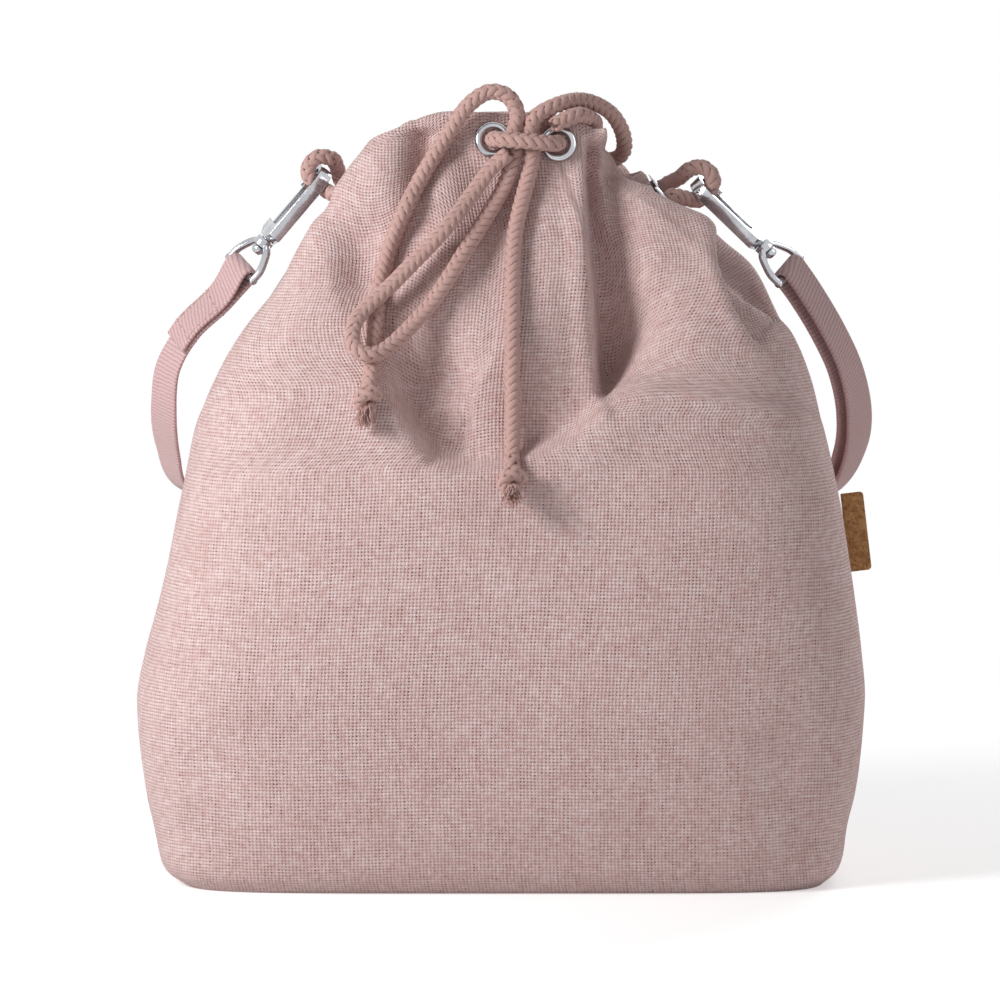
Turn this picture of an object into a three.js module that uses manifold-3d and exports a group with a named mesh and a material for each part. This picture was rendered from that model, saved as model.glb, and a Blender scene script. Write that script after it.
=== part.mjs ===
// Drawstring bento bag with a clip-on webbing strap. Millimetres, +Z up, front towards -Y, base on z = 0.
import * as THREE from "three";
import { mergeVertices } from "three/addons/utils/BufferGeometryUtils.js";
import Module from "manifold-3d";

const wasm = await Module();
wasm.setup();

// Bag body: height, half width, half depth, squareness and sideways shift of each level
const BAG_LEVELS = [
  [0, 101, 48, 6.0, 1.2],
  [4, 106.2, 52, 5.5, 0.6],
  [10, 108.6, 55, 5.0, 0.4],
  [28, 112.6, 60, 4.4, 0.2],
  [57, 115.2, 63.8, 4.0, 0.2],
  [72, 113.25, 64.3, 3.8, 0.75],
  [88, 110, 63.8, 3.7, 1.75],
  [102, 107.45, 62.8, 3.6, 2.55],
  [121, 104.45, 60.5, 3.6, 3.25],
  [146, 99, 55, 3.6, 3],
  [160, 94.2, 50.5, 3.6, 4],
  [174, 87, 45.5, 3.5, 5],
  [190, 75.5, 39.8, 3.5, 5.5],
  [205, 59, 34, 3.6, 2],
  [214, 49.5, 31, 3.8, 1.5],
  [222, 45, 28.6, 4.0, 1.5],
  [232, 41.5, 26.3, 4.0, 1.5],
  [241, 39, 25.2, 4.0, 1.5],
];
const RIM_HEIGHT = 241;
const RIM_SIDE_DROP = 15;
const RIM_DROP_POWER = 2;
const RIM_TILT = 3;
const CLOTH = 1.8;
const LINING = 0.8;
const HEM = 27;
const BASE_CLOTH = 1.8;
const GAP = 0.3;
const PANEL_COLUMNS = 42;
const FINE_ROWS_FROM = 170;
const BASE_POINTS = 52;

// Folds of the drawn-up cloth: the line each follows as width and height, the side that drops (0 is a valley),
// how deep it is, how wide, and how far the cloth takes to come back out
const FRONT_FOLDS = [
  {
    line: [[25.9, 236], [27.5, 215], [28.8, 187], [31.3, 154], [32.5, 143]],
    side: 1,
    depth: 9,
    width: 5,
    reach: 34,
  },
  {
    line: [[-21.9, 235], [-26.6, 218], [-35.9, 184], [-40, 167.5]],
    side: 0,
    depth: 4.5,
    width: 9,
    reach: 0,
  },
  {
    line: [
      [-41.9, 171], [-31.3, 149], [-21.6, 136], [-9.4, 134],
      [6.3, 138], [25.3, 146], [44.7, 173], [58.8, 192],
    ],
    side: 1,
    depth: 6,
    width: 12,
    reach: 38,
  },
  {
    line: [[50, 224], [61.9, 204], [70.6, 184], [78.1, 171], [86.9, 161]],
    side: 1,
    depth: 7,
    width: 7,
    reach: 36,
  },
];
const BACK_FOLDS = [
  {
    line: [[-12.8, 236], [-15, 212], [-18.8, 184], [-25.6, 152]],
    side: -1,
    depth: 6.5,
    width: 5,
    reach: 32,
  },
  {
    line: [[20.6, 236], [25, 215], [28.8, 184], [33.1, 149]],
    side: 1,
    depth: 7.5,
    width: 5.5,
    reach: 32,
  },
  { line: [[3.1, 235], [2.5, 212], [3.8, 184]], side: 0, depth: 3.4, width: 9, reach: 0 },
  {
    line: [[-40, 174], [-25, 143], [3.1, 131], [31.3, 140], [52.5, 174]],
    side: 1,
    depth: 5,
    width: 13,
    reach: 36,
  },
];
// Corners of the drawn-up cloth that stand out: which flank, depth and height of the middle, how far out, how
// wide and how high
const LOBES = [
  { flank: -1, y: -20, z: 219, out: 5.5, wide: 9, high: 16 },
  { flank: 1, y: -20, z: 210, out: 5, wide: 9, high: 16 },
  { flank: -1, y: 20, z: 206, out: 3.5, wide: 10, high: 16 },
  { flank: 1, y: 20, z: 206, out: 6, wide: 10, high: 18 },
];
const FOLD_FADE_IN = 8;
const FOLD_FADE_OUT = 30;
const SEAM_FLAT = 14;
const GUSSET_DEPTH = 8;
const GUSSET_WIDTH = 11;
const LOBE_FROM = 16;
const LOBE_BLEND = 16;
const GUSSET_FROM = 140;
const GUSSET_TO = 185;
const EYELET_FLAT = 9;
const EYELET_BLEND = 7;

// Eyelets and their washers
const EYELET_BARREL_R = 3.65;
const EYELET_WALL = 0.4;
const EYELET_FLANGE = 1.0;
const EYELET_RIM = 2.0;
const EYELET_CLEAR = 0.35;
const EYELET_ROLL = 0.85;
const EYELET_LIP = 0.5;
const EYELET_SEAT = 0.45;
const WASHER_RIM = 1.35;
const WASHER = 0.5;
const WASHER_SEAT = 0.45;
const RING_SIDES = 16;
const FRONT_EYELETS = { front_left: [-2.2, 233.4], front_right: [18.1, 232.2] };
const BACK_EYELETS = { back_left: [-13, 233], back_right: [17, 233] };
const SIDE_EYELET_OFFSET = 7.5;
const LEFT_EYELET_HEIGHTS = [213.5, 216.5];
const RIGHT_EYELET_HEIGHTS = [213.2, 216.5];

// Drawcord
const CORD_R = 2.5;
const CORD_SIDES = 8;
const CORD_STEP = 11;
const CORD_IN = 5;
const CORD_OFF_WALL = 6.6;
const CORD_OFF_FOLD = 5;
const KNOT_R = 4.3;
const KNOT_LENGTH = 9;
const FRAY_R = 2.4;
const FRAY_LENGTH = 7;

// Snap hooks: lengths run along the hook from the cord it holds
const HOOK_INNER_R = 5.2;
const HOOK_BAR = 1.6;
const HOOK_WIDTH = 4.2;
const HOOK_SEAT_S = 1.5;
const HOOK_SEAT_G = 1.87;
const HOOK_LIP = 2.6;
const HOOK_BASE_FROM = 18.4;
const HOOK_BASE_TO = 23.7;
const HOOK_TURN = 0.26;
const GATE_PIVOT_S = 20.8;
const GATE_PIVOT_G = 5.9;
const GATE_KNUCKLE_R = 1.55;
const GATE = 1.1;
const GATE_WIDTH = 2.0;
const GATE_TIP_S = 1.9;
const GATE_SLOT_FLOOR = 4.05;
const PIN_R = 0.6;
const PIN_CLEAR = 0.15;
const SPRING_WIRE = 0.35;
const STUD_R = 1.25;
const STUD_CLEAR = 0.3;
const STUD_FROM = 21.4;
const STUD_HEAD_R = 2.1;
const STUD_HEAD = 2.3;
const BOSS_R = 2.9;
const BOSS = 3.0;
const EYE_WIRE_R = 1.25;
const EYE_BAR_S = 36.4;
const EYE_HALF = 7.8;

// Strap webbing
const STRAP_WIDTH = 12;
const STRAP = 1.4;
const STRAP_STEP = 7;
const STRAP_TURN_STEPS = 6;
const LEFT_TAIL = 32;
const RIGHT_TAIL = 118;
const LAYER_HALF = 0.9;
const RIGHT_LAYER_HALF = 2.1;

// Side label
const LABEL_OUT = 7.2;
const LABEL = 1.4;
const LABEL_FROM = 95.5;
const LABEL_TO = 120.5;
const LABEL_OFF = 0.7;
const LABEL_CORNER = 1.2;

// Sizes that follow from the ones above
const LINING_TOP = RIM_HEIGHT - HEM;
const EYELET_HOLE_R = EYELET_BARREL_R - EYELET_WALL;
const EYELET_FLANGE_R = EYELET_BARREL_R + EYELET_RIM;
const EYELET_LIP_R = EYELET_BARREL_R + EYELET_ROLL;
const CLOTH_HOLE_R = EYELET_BARREL_R + EYELET_CLEAR;
const WASHER_HOLE_R = EYELET_BARREL_R + GAP;
const WASHER_R = WASHER_HOLE_R + WASHER_RIM;

// Heights are drawn for the rim of the level table and rise with the real rim
const drawnRim = BAG_LEVELS[BAG_LEVELS.length - 1][0];
const rise = (z) => (z * RIM_HEIGHT) / drawnRim;
const levels = BAG_LEVELS.map(([z, ...sizes]) => [rise(z), ...sizes]);

const V = (x, y, z) => new THREE.Vector3(x, y, z);
const raised = (x, y, z) => V(x, y, rise(z));

// Smooth value of one column of the level table at a height
function level(z, column) {
  const rows = levels;
  const last = rows.length - 1;
  let i = 0;
  while (i < last - 1 && z > rows[i + 1][0]) i += 1;
  const slope = (k) => {
    const lo = rows[Math.max(k - 1, 0)];
    const hi = rows[Math.min(k + 1, last)];
    return (hi[column] - lo[column]) / (hi[0] - lo[0]);
  };
  const span = rows[i + 1][0] - rows[i][0];
  const u = (z - rows[i][0]) / span;
  const a = rows[i][column];
  const b = rows[i + 1][column];
  const h = u * u * (3 - 2 * u);
  const start = u * (1 - u) * (1 - u) * span * slope(i);
  const end = u * u * (u - 1) * span * slope(i + 1);
  return a + (b - a) * h + start + end;
}

const signedPower = (v, e) => Math.sign(v) * Math.abs(v) ** e;

function section(z, inset) {
  return {
    a: level(z, 1) - inset,
    b: level(z, 2) - inset,
    p: level(z, 3),
    c: level(z, 4),
  };
}

function rimHeight(angle) {
  const across = Math.cos(angle);
  return RIM_HEIGHT - RIM_SIDE_DROP * Math.abs(across) ** RIM_DROP_POWER - RIM_TILT * across;
}

function bagPoint(angle, z, inset) {
  const s = section(z, inset);
  const x = s.c + s.a * signedPower(Math.cos(angle), 2 / s.p);
  return V(x, s.b * signedPower(Math.sin(angle), 2 / s.p), z);
}

// How far a point lies outside the bag: below 1 is inside
function bagValue(q, inset) {
  const s = section(q.z, inset);
  return Math.abs((q.x - s.c) / s.a) ** s.p + Math.abs(q.y / s.b) ** s.p;
}

function bagNormal(q) {
  const e = 0.05;
  const along = (dx, dy, dz) =>
    bagValue(V(q.x + dx, q.y + dy, q.z + dz), 0) - bagValue(V(q.x - dx, q.y - dy, q.z - dz), 0);
  return V(along(e, 0, 0), along(0, e, 0), along(0, 0, e)).normalize();
}

function faceSpot(x, z, side) {
  const s = section(z, 0);
  const rest = 1 - Math.abs((x - s.c) / s.a) ** s.p;
  return V(x, side * s.b * Math.max(rest, 0) ** (1 / s.p), z);
}

function flankSpot(y, z, side) {
  const s = section(z, 0);
  return V(s.c + side * s.a * (1 - Math.abs(y / s.b) ** s.p) ** (1 / s.p), y, z);
}

// A cord centre point that lies on the front cloth, lifted by a given amount
function onFront(x, z, lift) {
  const spot = faceSpot(x, rise(z), -1);
  return spot.addScaledVector(bagNormal(spot), CORD_R + lift);
}

// Solids
function toSolid(geometry) {
  const plain = geometry.index ? geometry.toNonIndexed() : geometry.clone();
  plain.deleteAttribute("normal");
  plain.deleteAttribute("uv");
  const merged = mergeVertices(plain, 1e-3);
  const triVerts = new Uint32Array(merged.index.array);
  const build = () =>
    new wasm.Manifold(
      new wasm.Mesh({ numProp: 3, vertProperties: merged.attributes.position.array, triVerts }),
    );
  const made = build();
  if (made.volume() > 0) return made;
  for (let i = 0; i < triVerts.length; i += 3) {
    [triVerts[i + 1], triVerts[i + 2]] = [triVerts[i + 2], triVerts[i + 1]];
  }
  return build();
}

function toGeometry(solid) {
  const mesh = solid.getMesh();
  const positions = new Float32Array(mesh.vertProperties);
  return new THREE.BufferGeometry()
    .setAttribute("position", new THREE.BufferAttribute(positions, 3))
    .setIndex(new THREE.BufferAttribute(new Uint32Array(mesh.triVerts), 1));
}

// A closed skin between two grids of points with the same rows and columns
function shell(outer, inner) {
  const rows = outer.length;
  const columns = outer[0].length;
  const points = [...outer.flat(), ...inner.flat()];
  const at = (layer, r, c) => layer * rows * columns + r * columns + c;
  const faces = [];
  const quad = (a, b, c, d) => faces.push(a, b, c, a, c, d);
  for (let r = 0; r < rows - 1; r += 1) {
    for (let c = 0; c < columns - 1; c += 1) {
      quad(at(0, r, c), at(0, r, c + 1), at(0, r + 1, c + 1), at(0, r + 1, c));
      quad(at(1, r, c), at(1, r + 1, c), at(1, r + 1, c + 1), at(1, r, c + 1));
    }
    quad(at(0, r, 0), at(0, r + 1, 0), at(1, r + 1, 0), at(1, r, 0));
    const e = columns - 1;
    quad(at(0, r, e), at(1, r, e), at(1, r + 1, e), at(0, r + 1, e));
  }
  for (let c = 0; c < columns - 1; c += 1) {
    const t = rows - 1;
    quad(at(0, 0, c), at(1, 0, c), at(1, 0, c + 1), at(0, 0, c + 1));
    quad(at(0, t, c), at(0, t, c + 1), at(1, t, c + 1), at(1, t, c));
  }
  return new THREE.BufferGeometry().setFromPoints(points).setIndex(faces);
}

const eyelets = {};

// Angles of the panel's columns, even along the cloth at the shoulder
function columnAngles(side, columns) {
  const fine = 60 * columns;
  const angles = [];
  const walked = [0];
  let last = null;
  for (let i = 0; i <= fine; i += 1) {
    const angle = side * Math.PI * ((1 - Math.cos((Math.PI * i) / fine)) / 2);
    const q = bagPoint(angle, rise(GUSSET_TO), 0);
    if (last) walked.push(walked[i - 1] + q.distanceTo(last));
    angles.push(angle);
    last = q;
  }
  const even = [];
  let k = 0;
  for (let c = 0; c <= columns; c += 1) {
    const target = (walked[fine] * c) / columns;
    while (k < fine && walked[k] < target - 1e-6) k += 1;
    even.push(angles[k]);
  }
  return even;
}

// Signed distance from a fold line, how far along it the nearest point is, and its length
function lineOffset(x, z, line) {
  let best = Infinity;
  let offset = 0;
  let along = 0;
  let length = 0;
  for (let i = 1; i < line.length; i += 1) {
    const [x0, z0] = [line[i - 1][0], rise(line[i - 1][1])];
    const [dx, dz] = [line[i][0] - x0, rise(line[i][1]) - z0];
    const span = Math.hypot(dx, dz);
    const t = THREE.MathUtils.clamp(((x - x0) * dx + (z - z0) * dz) / span ** 2, 0, 1);
    const away = Math.hypot(x - x0 - t * dx, z - z0 - t * dz);
    if (away < best) {
      best = away;
      offset = away * Math.sign(dx * (z - z0) - dz * (x - x0));
      along = length + t * span;
    }
    length += span;
  }
  return { offset, along, length };
}

const ease = (t) => THREE.MathUtils.smoothstep(t, 0, 1);

function foldDepth(q, fold) {
  const { offset, along, length } = lineOffset(q.x, q.z, fold.line);
  const strength = fold.depth * ease(along / FOLD_FADE_IN) * ease((length - along) / FOLD_FADE_OUT);
  if (fold.side === 0) return strength * Math.exp(-((offset / fold.width) ** 2));
  const across = offset * fold.side;
  return strength * ease(across / fold.width) * (1 - ease((across - fold.width) / fold.reach));
}

// How far the drawn-up cloth is drawn in at a point, nothing at the eyelets
function drawnIn(q, side) {
  const folds = side < 0 ? FRONT_FOLDS : BACK_FOLDS;
  let depth = 0;
  for (const fold of folds) depth += foldDepth(q, fold);
  depth *= ease(Math.abs(q.y) / SEAM_FLAT);
  const height = ease((q.z - rise(GUSSET_FROM)) / (rise(GUSSET_TO) - rise(GUSSET_FROM)));
  depth += GUSSET_DEPTH * height * Math.exp(-((q.y / GUSSET_WIDTH) ** 2));
  for (const lobe of LOBES) {
    const away = ((q.y - lobe.y) / lobe.wide) ** 2 + ((q.z - rise(lobe.z)) / lobe.high) ** 2;
    const outer = ease((lobe.flank * q.x - LOBE_FROM) / LOBE_BLEND);
    depth -= lobe.out * outer * Math.exp(-away);
  }
  for (const e of Object.values(eyelets)) depth *= ease((q.distanceTo(e.spot) - EYELET_FLAT) / EYELET_BLEND);
  return depth;
}

// Half of the bag's skin: side -1 is the front, +1 the back
function halfSkin(side, heights, inset, wall, columns) {
  const angles = columnAngles(side, columns);
  const grid = (depth) =>
    heights.map((heightAt) =>
      angles.map((angle, c) => {
        const z = heightAt(angle);
        const surface = bagPoint(angle, z, 0);
        const q = bagPoint(angle, z, depth).addScaledVector(bagNormal(surface), -drawnIn(surface, side));
        if (c === 0 || c === columns) q.y = (side * GAP) / 2;
        return q;
      }),
    );
  return shell(grid(inset), grid(inset + wall));
}

function cylinder(radius, from, to, sides = RING_SIDES) {
  return new THREE.CylinderGeometry(radius, radius, to - from, sides).translate(0, (from + to) / 2, 0);
}

// A ring or knob turned round +Y from (radius, height) points
function turned(profile, sides = RING_SIDES) {
  const points = profile.map(([r, h]) => new THREE.Vector2(r, h));
  return new THREE.LatheGeometry(points, sides);
}

function ringProfile(inner, outer, low, high) {
  return [
    [inner, low],
    [outer, low],
    [outer, high],
    [inner, high],
    [inner, low],
  ];
}

// Turns +Y onto a direction and moves the origin to a point
function aimed(geometry, origin, direction) {
  const turn = new THREE.Quaternion().setFromUnitVectors(V(0, 1, 0), direction);
  return geometry.applyQuaternion(turn).translate(origin.x, origin.y, origin.z);
}

function circleShape(radius, sides) {
  const points = [];
  for (let i = 0; i < sides; i += 1) {
    const angle = (2 * Math.PI * i) / sides;
    points.push(new THREE.Vector2(radius * Math.cos(angle), radius * Math.sin(angle)));
  }
  return new THREE.Shape(points);
}

function tube(points, radius, sides, step) {
  const path = new THREE.CatmullRomCurve3(points, false, "centripetal");
  path.arcLengthDivisions = 400;
  const steps = Math.max(2, Math.round(path.getLength() / step));
  return new THREE.ExtrudeGeometry(circleShape(radius, sides), {
    steps,
    bevelEnabled: false,
    extrudePath: path,
  });
}

const cord = (points, step = CORD_STEP) => tube(points, CORD_R, CORD_SIDES, step);

// Looks
const look = (color, roughness, metalness) =>
  new THREE.MeshStandardMaterial({ color, roughness, metalness });
const LINEN = look(0xc89e96, 0.95, 0);
const LINING_CLOTH = look(0x8a6a60, 0.9, 0);
const CORD_COTTON = look(0xac8980, 0.9, 0);
const WEBBING = look(0xbe9e9c, 0.9, 0);
const CHROME = look(0xd8dade, 0.2, 1);
const CORK = look(0xb07f50, 0.85, 0);

const bag = new THREE.Group();
bag.name = "bento_bag";

function add(name, geometry, material) {
  const mesh = new THREE.Mesh(toGeometry(toSolid(geometry)), material);
  mesh.name = name;
  bag.add(mesh);
}

// Eyelets: where each sits, which way it faces and where its flange and washer meet the cloth
function clothDepths(spot, normal, radius, inset) {
  const across = new THREE.Vector3().crossVectors(V(0, 0, 1), normal).normalize();
  const up = new THREE.Vector3().crossVectors(normal, across);
  const depths = [];
  for (let i = 0; i < RING_SIDES; i += 1) {
    const angle = (2 * Math.PI * i) / RING_SIDES;
    const start = spot.clone().addScaledVector(across, radius * Math.cos(angle));
    start.addScaledVector(up, radius * Math.sin(angle));
    let low = -8;
    let high = 4;
    for (let k = 0; k < 24; k += 1) {
      const mid = (low + high) / 2;
      const inside = bagValue(start.clone().addScaledVector(normal, mid), inset) < 1;
      if (inside) low = mid;
      else high = mid;
    }
    depths.push(low);
  }
  return depths;
}
function placeEyelet(name, spot, panel) {
  const normal = bagNormal(spot);
  const outer = clothDepths(spot, normal, EYELET_FLANGE_R, 0);
  const inner = clothDepths(spot, normal, WASHER_R, CLOTH);
  const flange = Math.max(0, ...outer) + EYELET_SEAT;
  const washerTop = Math.min(...inner) - WASHER_SEAT;
  eyelets[name] = { spot, normal, panel, flange, washerTop };
}
for (const [name, [x, z]] of Object.entries(FRONT_EYELETS)) placeEyelet(name, faceSpot(x, rise(z), -1), -1);
for (const [name, [x, z]] of Object.entries(BACK_EYELETS)) placeEyelet(name, faceSpot(x, rise(z), 1), 1);
[-1, 1].forEach((panel, i) => {
  const face = panel < 0 ? "front" : "back";
  const y = panel * SIDE_EYELET_OFFSET;
  placeEyelet(`left_side_${face}`, flankSpot(y, rise(LEFT_EYELET_HEIGHTS[i]), -1), panel);
  placeEyelet(`right_side_${face}`, flankSpot(y, rise(RIGHT_EYELET_HEIGHTS[i]), 1), panel);
});

// Outer cloth, with an eyelet hole through it wherever the cord passes
const rowHeights = levels.flatMap(([z], i) => {
  if (z < rise(FINE_ROWS_FROM) || i === levels.length - 1) return [z];
  return [z, (z + levels[i + 1][0]) / 2];
});
const panelHeights = rowHeights.map((z) => (angle) => (z / RIM_HEIGHT) * rimHeight(angle));
function panel(side) {
  let solid = toSolid(halfSkin(side, panelHeights, 0, CLOTH, PANEL_COLUMNS));
  for (const e of Object.values(eyelets)) {
    if (e.panel !== side) continue;
    const hole = aimed(cylinder(CLOTH_HOLE_R, -7, 4), e.spot, e.normal);
    solid = solid.subtract(toSolid(hole));
  }
  return toGeometry(solid);
}
add("front_panel", panel(-1), LINEN);
add("back_panel", panel(1), LINEN);

// Base cloth inside the foot of the panels
function basePlate(z, thickness, inset, columns) {
  const s = section(z, inset);
  const points = [];
  for (let i = 0; i < columns; i += 1) {
    const angle = (2 * Math.PI * i) / columns;
    const x = s.c + s.a * signedPower(Math.cos(angle), 2 / s.p);
    points.push(new THREE.Vector2(x, s.b * signedPower(Math.sin(angle), 2 / s.p)));
  }
  const plate = new THREE.ExtrudeGeometry(new THREE.Shape(points), {
    depth: thickness,
    bevelEnabled: false,
  });
  return plate.translate(0, 0, z);
}
add("base_panel", basePlate(0, BASE_CLOTH, CLOTH + GAP, BASE_POINTS), LINEN);

// Lining: a plate on the base and two skins up to below the eyelets
const liningInset = CLOTH + GAP;
const liningFloor = BASE_CLOTH + GAP;
const liningStart = liningFloor + LINING + GAP;
const liningRows = rowHeights.filter((z) => z > liningStart && z < LINING_TOP - LINING);
const liningHeights = [...liningRows, LINING_TOP].map(
  (z) => (angle) => (z / RIM_HEIGHT) * rimHeight(angle),
);
add("base_lining", basePlate(liningFloor, LINING, liningInset + LINING + GAP, BASE_POINTS), LINING_CLOTH);
add("front_lining", halfSkin(-1, liningHeights, liningInset, LINING, PANEL_COLUMNS), LINING_CLOTH);
add("back_lining", halfSkin(1, liningHeights, liningInset, LINING, PANEL_COLUMNS), LINING_CLOTH);

for (const [name, e] of Object.entries(eyelets)) {
  const washerLow = e.washerTop - WASHER;
  const lipHigh = washerLow - GAP;
  const lipLow = lipHigh - EYELET_LIP;
  const flangeTop = e.flange + EYELET_FLANGE;
  const profile = [
    [EYELET_HOLE_R, lipLow],
    [EYELET_LIP_R, lipLow],
    [EYELET_LIP_R, lipHigh],
    [EYELET_BARREL_R, lipHigh],
    [EYELET_BARREL_R, e.flange],
    [EYELET_FLANGE_R, e.flange],
    [EYELET_FLANGE_R, e.flange + 0.4 * EYELET_FLANGE],
    [EYELET_FLANGE_R - 0.7 * EYELET_FLANGE, flangeTop],
    [EYELET_HOLE_R + 0.8 * EYELET_FLANGE, flangeTop],
    [EYELET_HOLE_R, e.flange + 0.5 * EYELET_FLANGE],
    [EYELET_HOLE_R, lipLow],
  ];
  const washer = ringProfile(WASHER_HOLE_R, WASHER_R, washerLow, e.washerTop);
  add(`${name}_eyelet`, aimed(turned(profile), e.spot, e.normal), CHROME);
  add(`${name}_washer`, aimed(turned(washer), e.spot, e.normal), CHROME);
}

// Drawcord points at an eyelet, measured along its axis from the outer cloth
function through(name, along) {
  const e = eyelets[name];
  return e.spot.clone().addScaledVector(e.normal, along);
}
const CORD_SPLIT = -1;

// Point inside the mouth, a set distance in from the cloth
function insideMouth(angle, z, further = 0) {
  return bagPoint(angle, rise(z), CLOTH + CORD_OFF_WALL + further);
}
const deg = THREE.MathUtils.degToRad;

const frontCord = [
  through("left_side_front", CORD_SPLIT - GAP / 2),
  through("left_side_front", -CORD_IN - 1),
  insideMouth(deg(-140), 222),
  insideMouth(deg(-112), 230),
  through("front_left", -CORD_IN - 1),
  through("front_left", 1.4),
  raised(-0.4, -33.4, 233.6),
  raised(8, -36.2, 233.2),
  raised(16.3, -33.4, 232.4),
  through("front_right", 1.4),
  through("front_right", -CORD_IN - 1),
  insideMouth(deg(-52), 226, CORD_OFF_FOLD),
  insideMouth(deg(-36), 219, CORD_OFF_FOLD),
  through("right_side_front", -CORD_IN - 1),
  through("right_side_front", CORD_SPLIT - GAP / 2),
];
add("drawcord_front_run", cord(frontCord, 6), CORD_COTTON);

const backCord = [
  through("left_side_back", CORD_SPLIT - GAP / 2),
  through("left_side_back", -CORD_IN - 1),
  insideMouth(deg(140), 223, 1.5),
  through("back_left", -CORD_IN - 1),
  through("back_left", 1.8),
  raised(-9.6, 33.2, 233.4),
  raised(2, 34.5, 233.4),
  raised(13.6, 33.2, 233.4),
  through("back_right", 1.8),
  through("back_right", -CORD_IN - 1),
  insideMouth(deg(42), 223, CORD_OFF_FOLD),
  through("right_side_back", -CORD_IN - 1),
  through("right_side_back", CORD_SPLIT - GAP / 2),
];
add("drawcord_back_run", cord(backCord, 7), CORD_COTTON);

// Snap hooks: each frame has its cord at the origin, +X down the hook, +Y towards the gate
function hookFrame(seat, down, outward) {
  const a = down.clone().normalize();
  const out = outward.clone().addScaledVector(a, -outward.dot(a)).normalize();
  const g = V(0, Math.cos(HOOK_TURN), 0).addScaledVector(out, Math.sin(HOOK_TURN)).normalize();
  const n = new THREE.Vector3().crossVectors(a, g);
  const basis = new THREE.Matrix4().makeBasis(a, g, n).setPosition(seat);
  return { seat, a, g, n, basis };
}
const hooks = {
  left: hookFrame(raised(-58.1, -2, 219.6), V(-0.65, 0, -0.76), V(-0.76, 0, 0.65)),
  right: hookFrame(raised(65.2, -2, 216.5), V(0.72, 0, -0.69), V(0.69, 0, 0.72)),
};
const inHook = (h, s, g, n) => V(s, g, n).applyMatrix4(h.basis);

// Side loops of the drawcord, held out by the hooks
function sideLoop(side, turn, enter, top) {
  const h = hooks[side];
  const front = `${side}_side_front`;
  const back = `${side}_side_back`;
  return [
    through(front, CORD_SPLIT + GAP / 2),
    through(front, 0.8),
    through(front, 3.4),
    inHook(h, enter, -3.6, 5 * turn),
    inHook(h, 0, 0, 3.4 * turn),
    inHook(h, 0, 0, 0),
    inHook(h, 0, 0, -3.2 * turn),
    inHook(h, -2.6, 0.2, -5.4 * turn),
    inHook(h, -6.6, 0.8, -4.8 * turn),
    inHook(h, -8.8, 2, -1 * turn),
    top,
    through(back, 4.6),
    through(back, 1),
    through(back, CORD_SPLIT + GAP / 2),
  ];
}
const leftLoop = sideLoop("left", 1, -0.6, raised(-52, 4.8, 225));
const rightLoop = sideLoop("right", -1, -3.5, raised(57, 4.8, 221));
add("left_side_loop", cord(leftLoop, 4), CORD_COTTON);
add("right_side_loop", cord(rightLoop, 4), CORD_COTTON);

// Bow: two loops and two tails that start behind the wrap
const BOW_Y = -30.4;
const bowLeftLoop = [
  raised(2.4, -34.4, 229.3),
  raised(-2.4, -34, 225),
  onFront(-15.6, 205.6, 3.4),
  onFront(-31, 188, 3.4),
  onFront(-43.6, 174.5, 1.2),
  onFront(-43.6, 167, 0.6),
  onFront(-38, 165.2, 0.6),
  onFront(-23, 180, 1),
  onFront(-9, 201, 1),
  onFront(1.6, 219, 0.6),
  raised(5.2, BOW_Y, 232.4),
];
const bowRightLoop = [
  raised(9.6, BOW_Y, 235.2),
  raised(10.6, -30.8, 240),
  raised(17.5, -28, 244.2),
  raised(26.6, -19.5, 245.6),
  raised(34.6, -12.6, 241.8),
  raised(38.6, -6.8, 235.6),
  raised(39.2, -1, 230),
  raised(37.8, 1.6, 227.8),
  raised(34.4, 2.6, 226.8),
  raised(31, 1.6, 227.8),
  raised(29.6, -1, 230),
  raised(29.4, -6.6, 234.4),
  raised(29.8, -13.2, 238),
  raised(28.4, -21, 240),
  raised(24, -27.4, 241.2),
  raised(16.6, -31.4, 238),
];
const tailLeft = [
  raised(4.2, BOW_Y, 235.2),
  raised(5.4, -30.6, 241.5),
  raised(2.6, -31, 246.8),
  raised(-3, -31, 248.4),
  raised(-9.4, -30.8, 244.6),
  onFront(-16.4, 234, 0.8),
  onFront(-23.5, 222, 0.6),
  onFront(-31.2, 206, 0.6),
  onFront(-36.4, 190, -1.2),
  onFront(-38, 178, -1.6),
  onFront(-38.6, 170, -1.6),
  onFront(-40, 156, 0.6),
];
const tailRight = [
  raised(10.7, BOW_Y, 232.4),
  onFront(9.2, 223, 0.9),
  onFront(4.6, 203, 0.6),
  onFront(3.8, 176, 0.6),
  onFront(3.8, 150, 0.6),
  onFront(3.6, 131, 0.6),
];
// The left tail passes under the left loop, so it dips to the cloth there
tailLeft.forEach((q) => {
  const spot = faceSpot(q.x, q.z, -1);
  if (q.z < rise(200) && q.z > rise(160)) q.copy(spot.addScaledVector(bagNormal(spot), CORD_R + GAP));
});
bowLeftLoop.forEach((q) => {
  if (q.z > rise(190) || q.x > -24) return;
  const spot = faceSpot(q.x, q.z, -1);
  q.copy(spot.addScaledVector(bagNormal(spot), 3 * CORD_R + 11 * GAP));
});
add("bow_left_loop", cord(bowLeftLoop, 8), CORD_COTTON);
add("bow_right_loop", cord(bowRightLoop, 4), CORD_COTTON);
add("left_tail", cord(tailLeft, 8), CORD_COTTON);
add("right_tail", cord(tailRight), CORD_COTTON);

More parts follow.
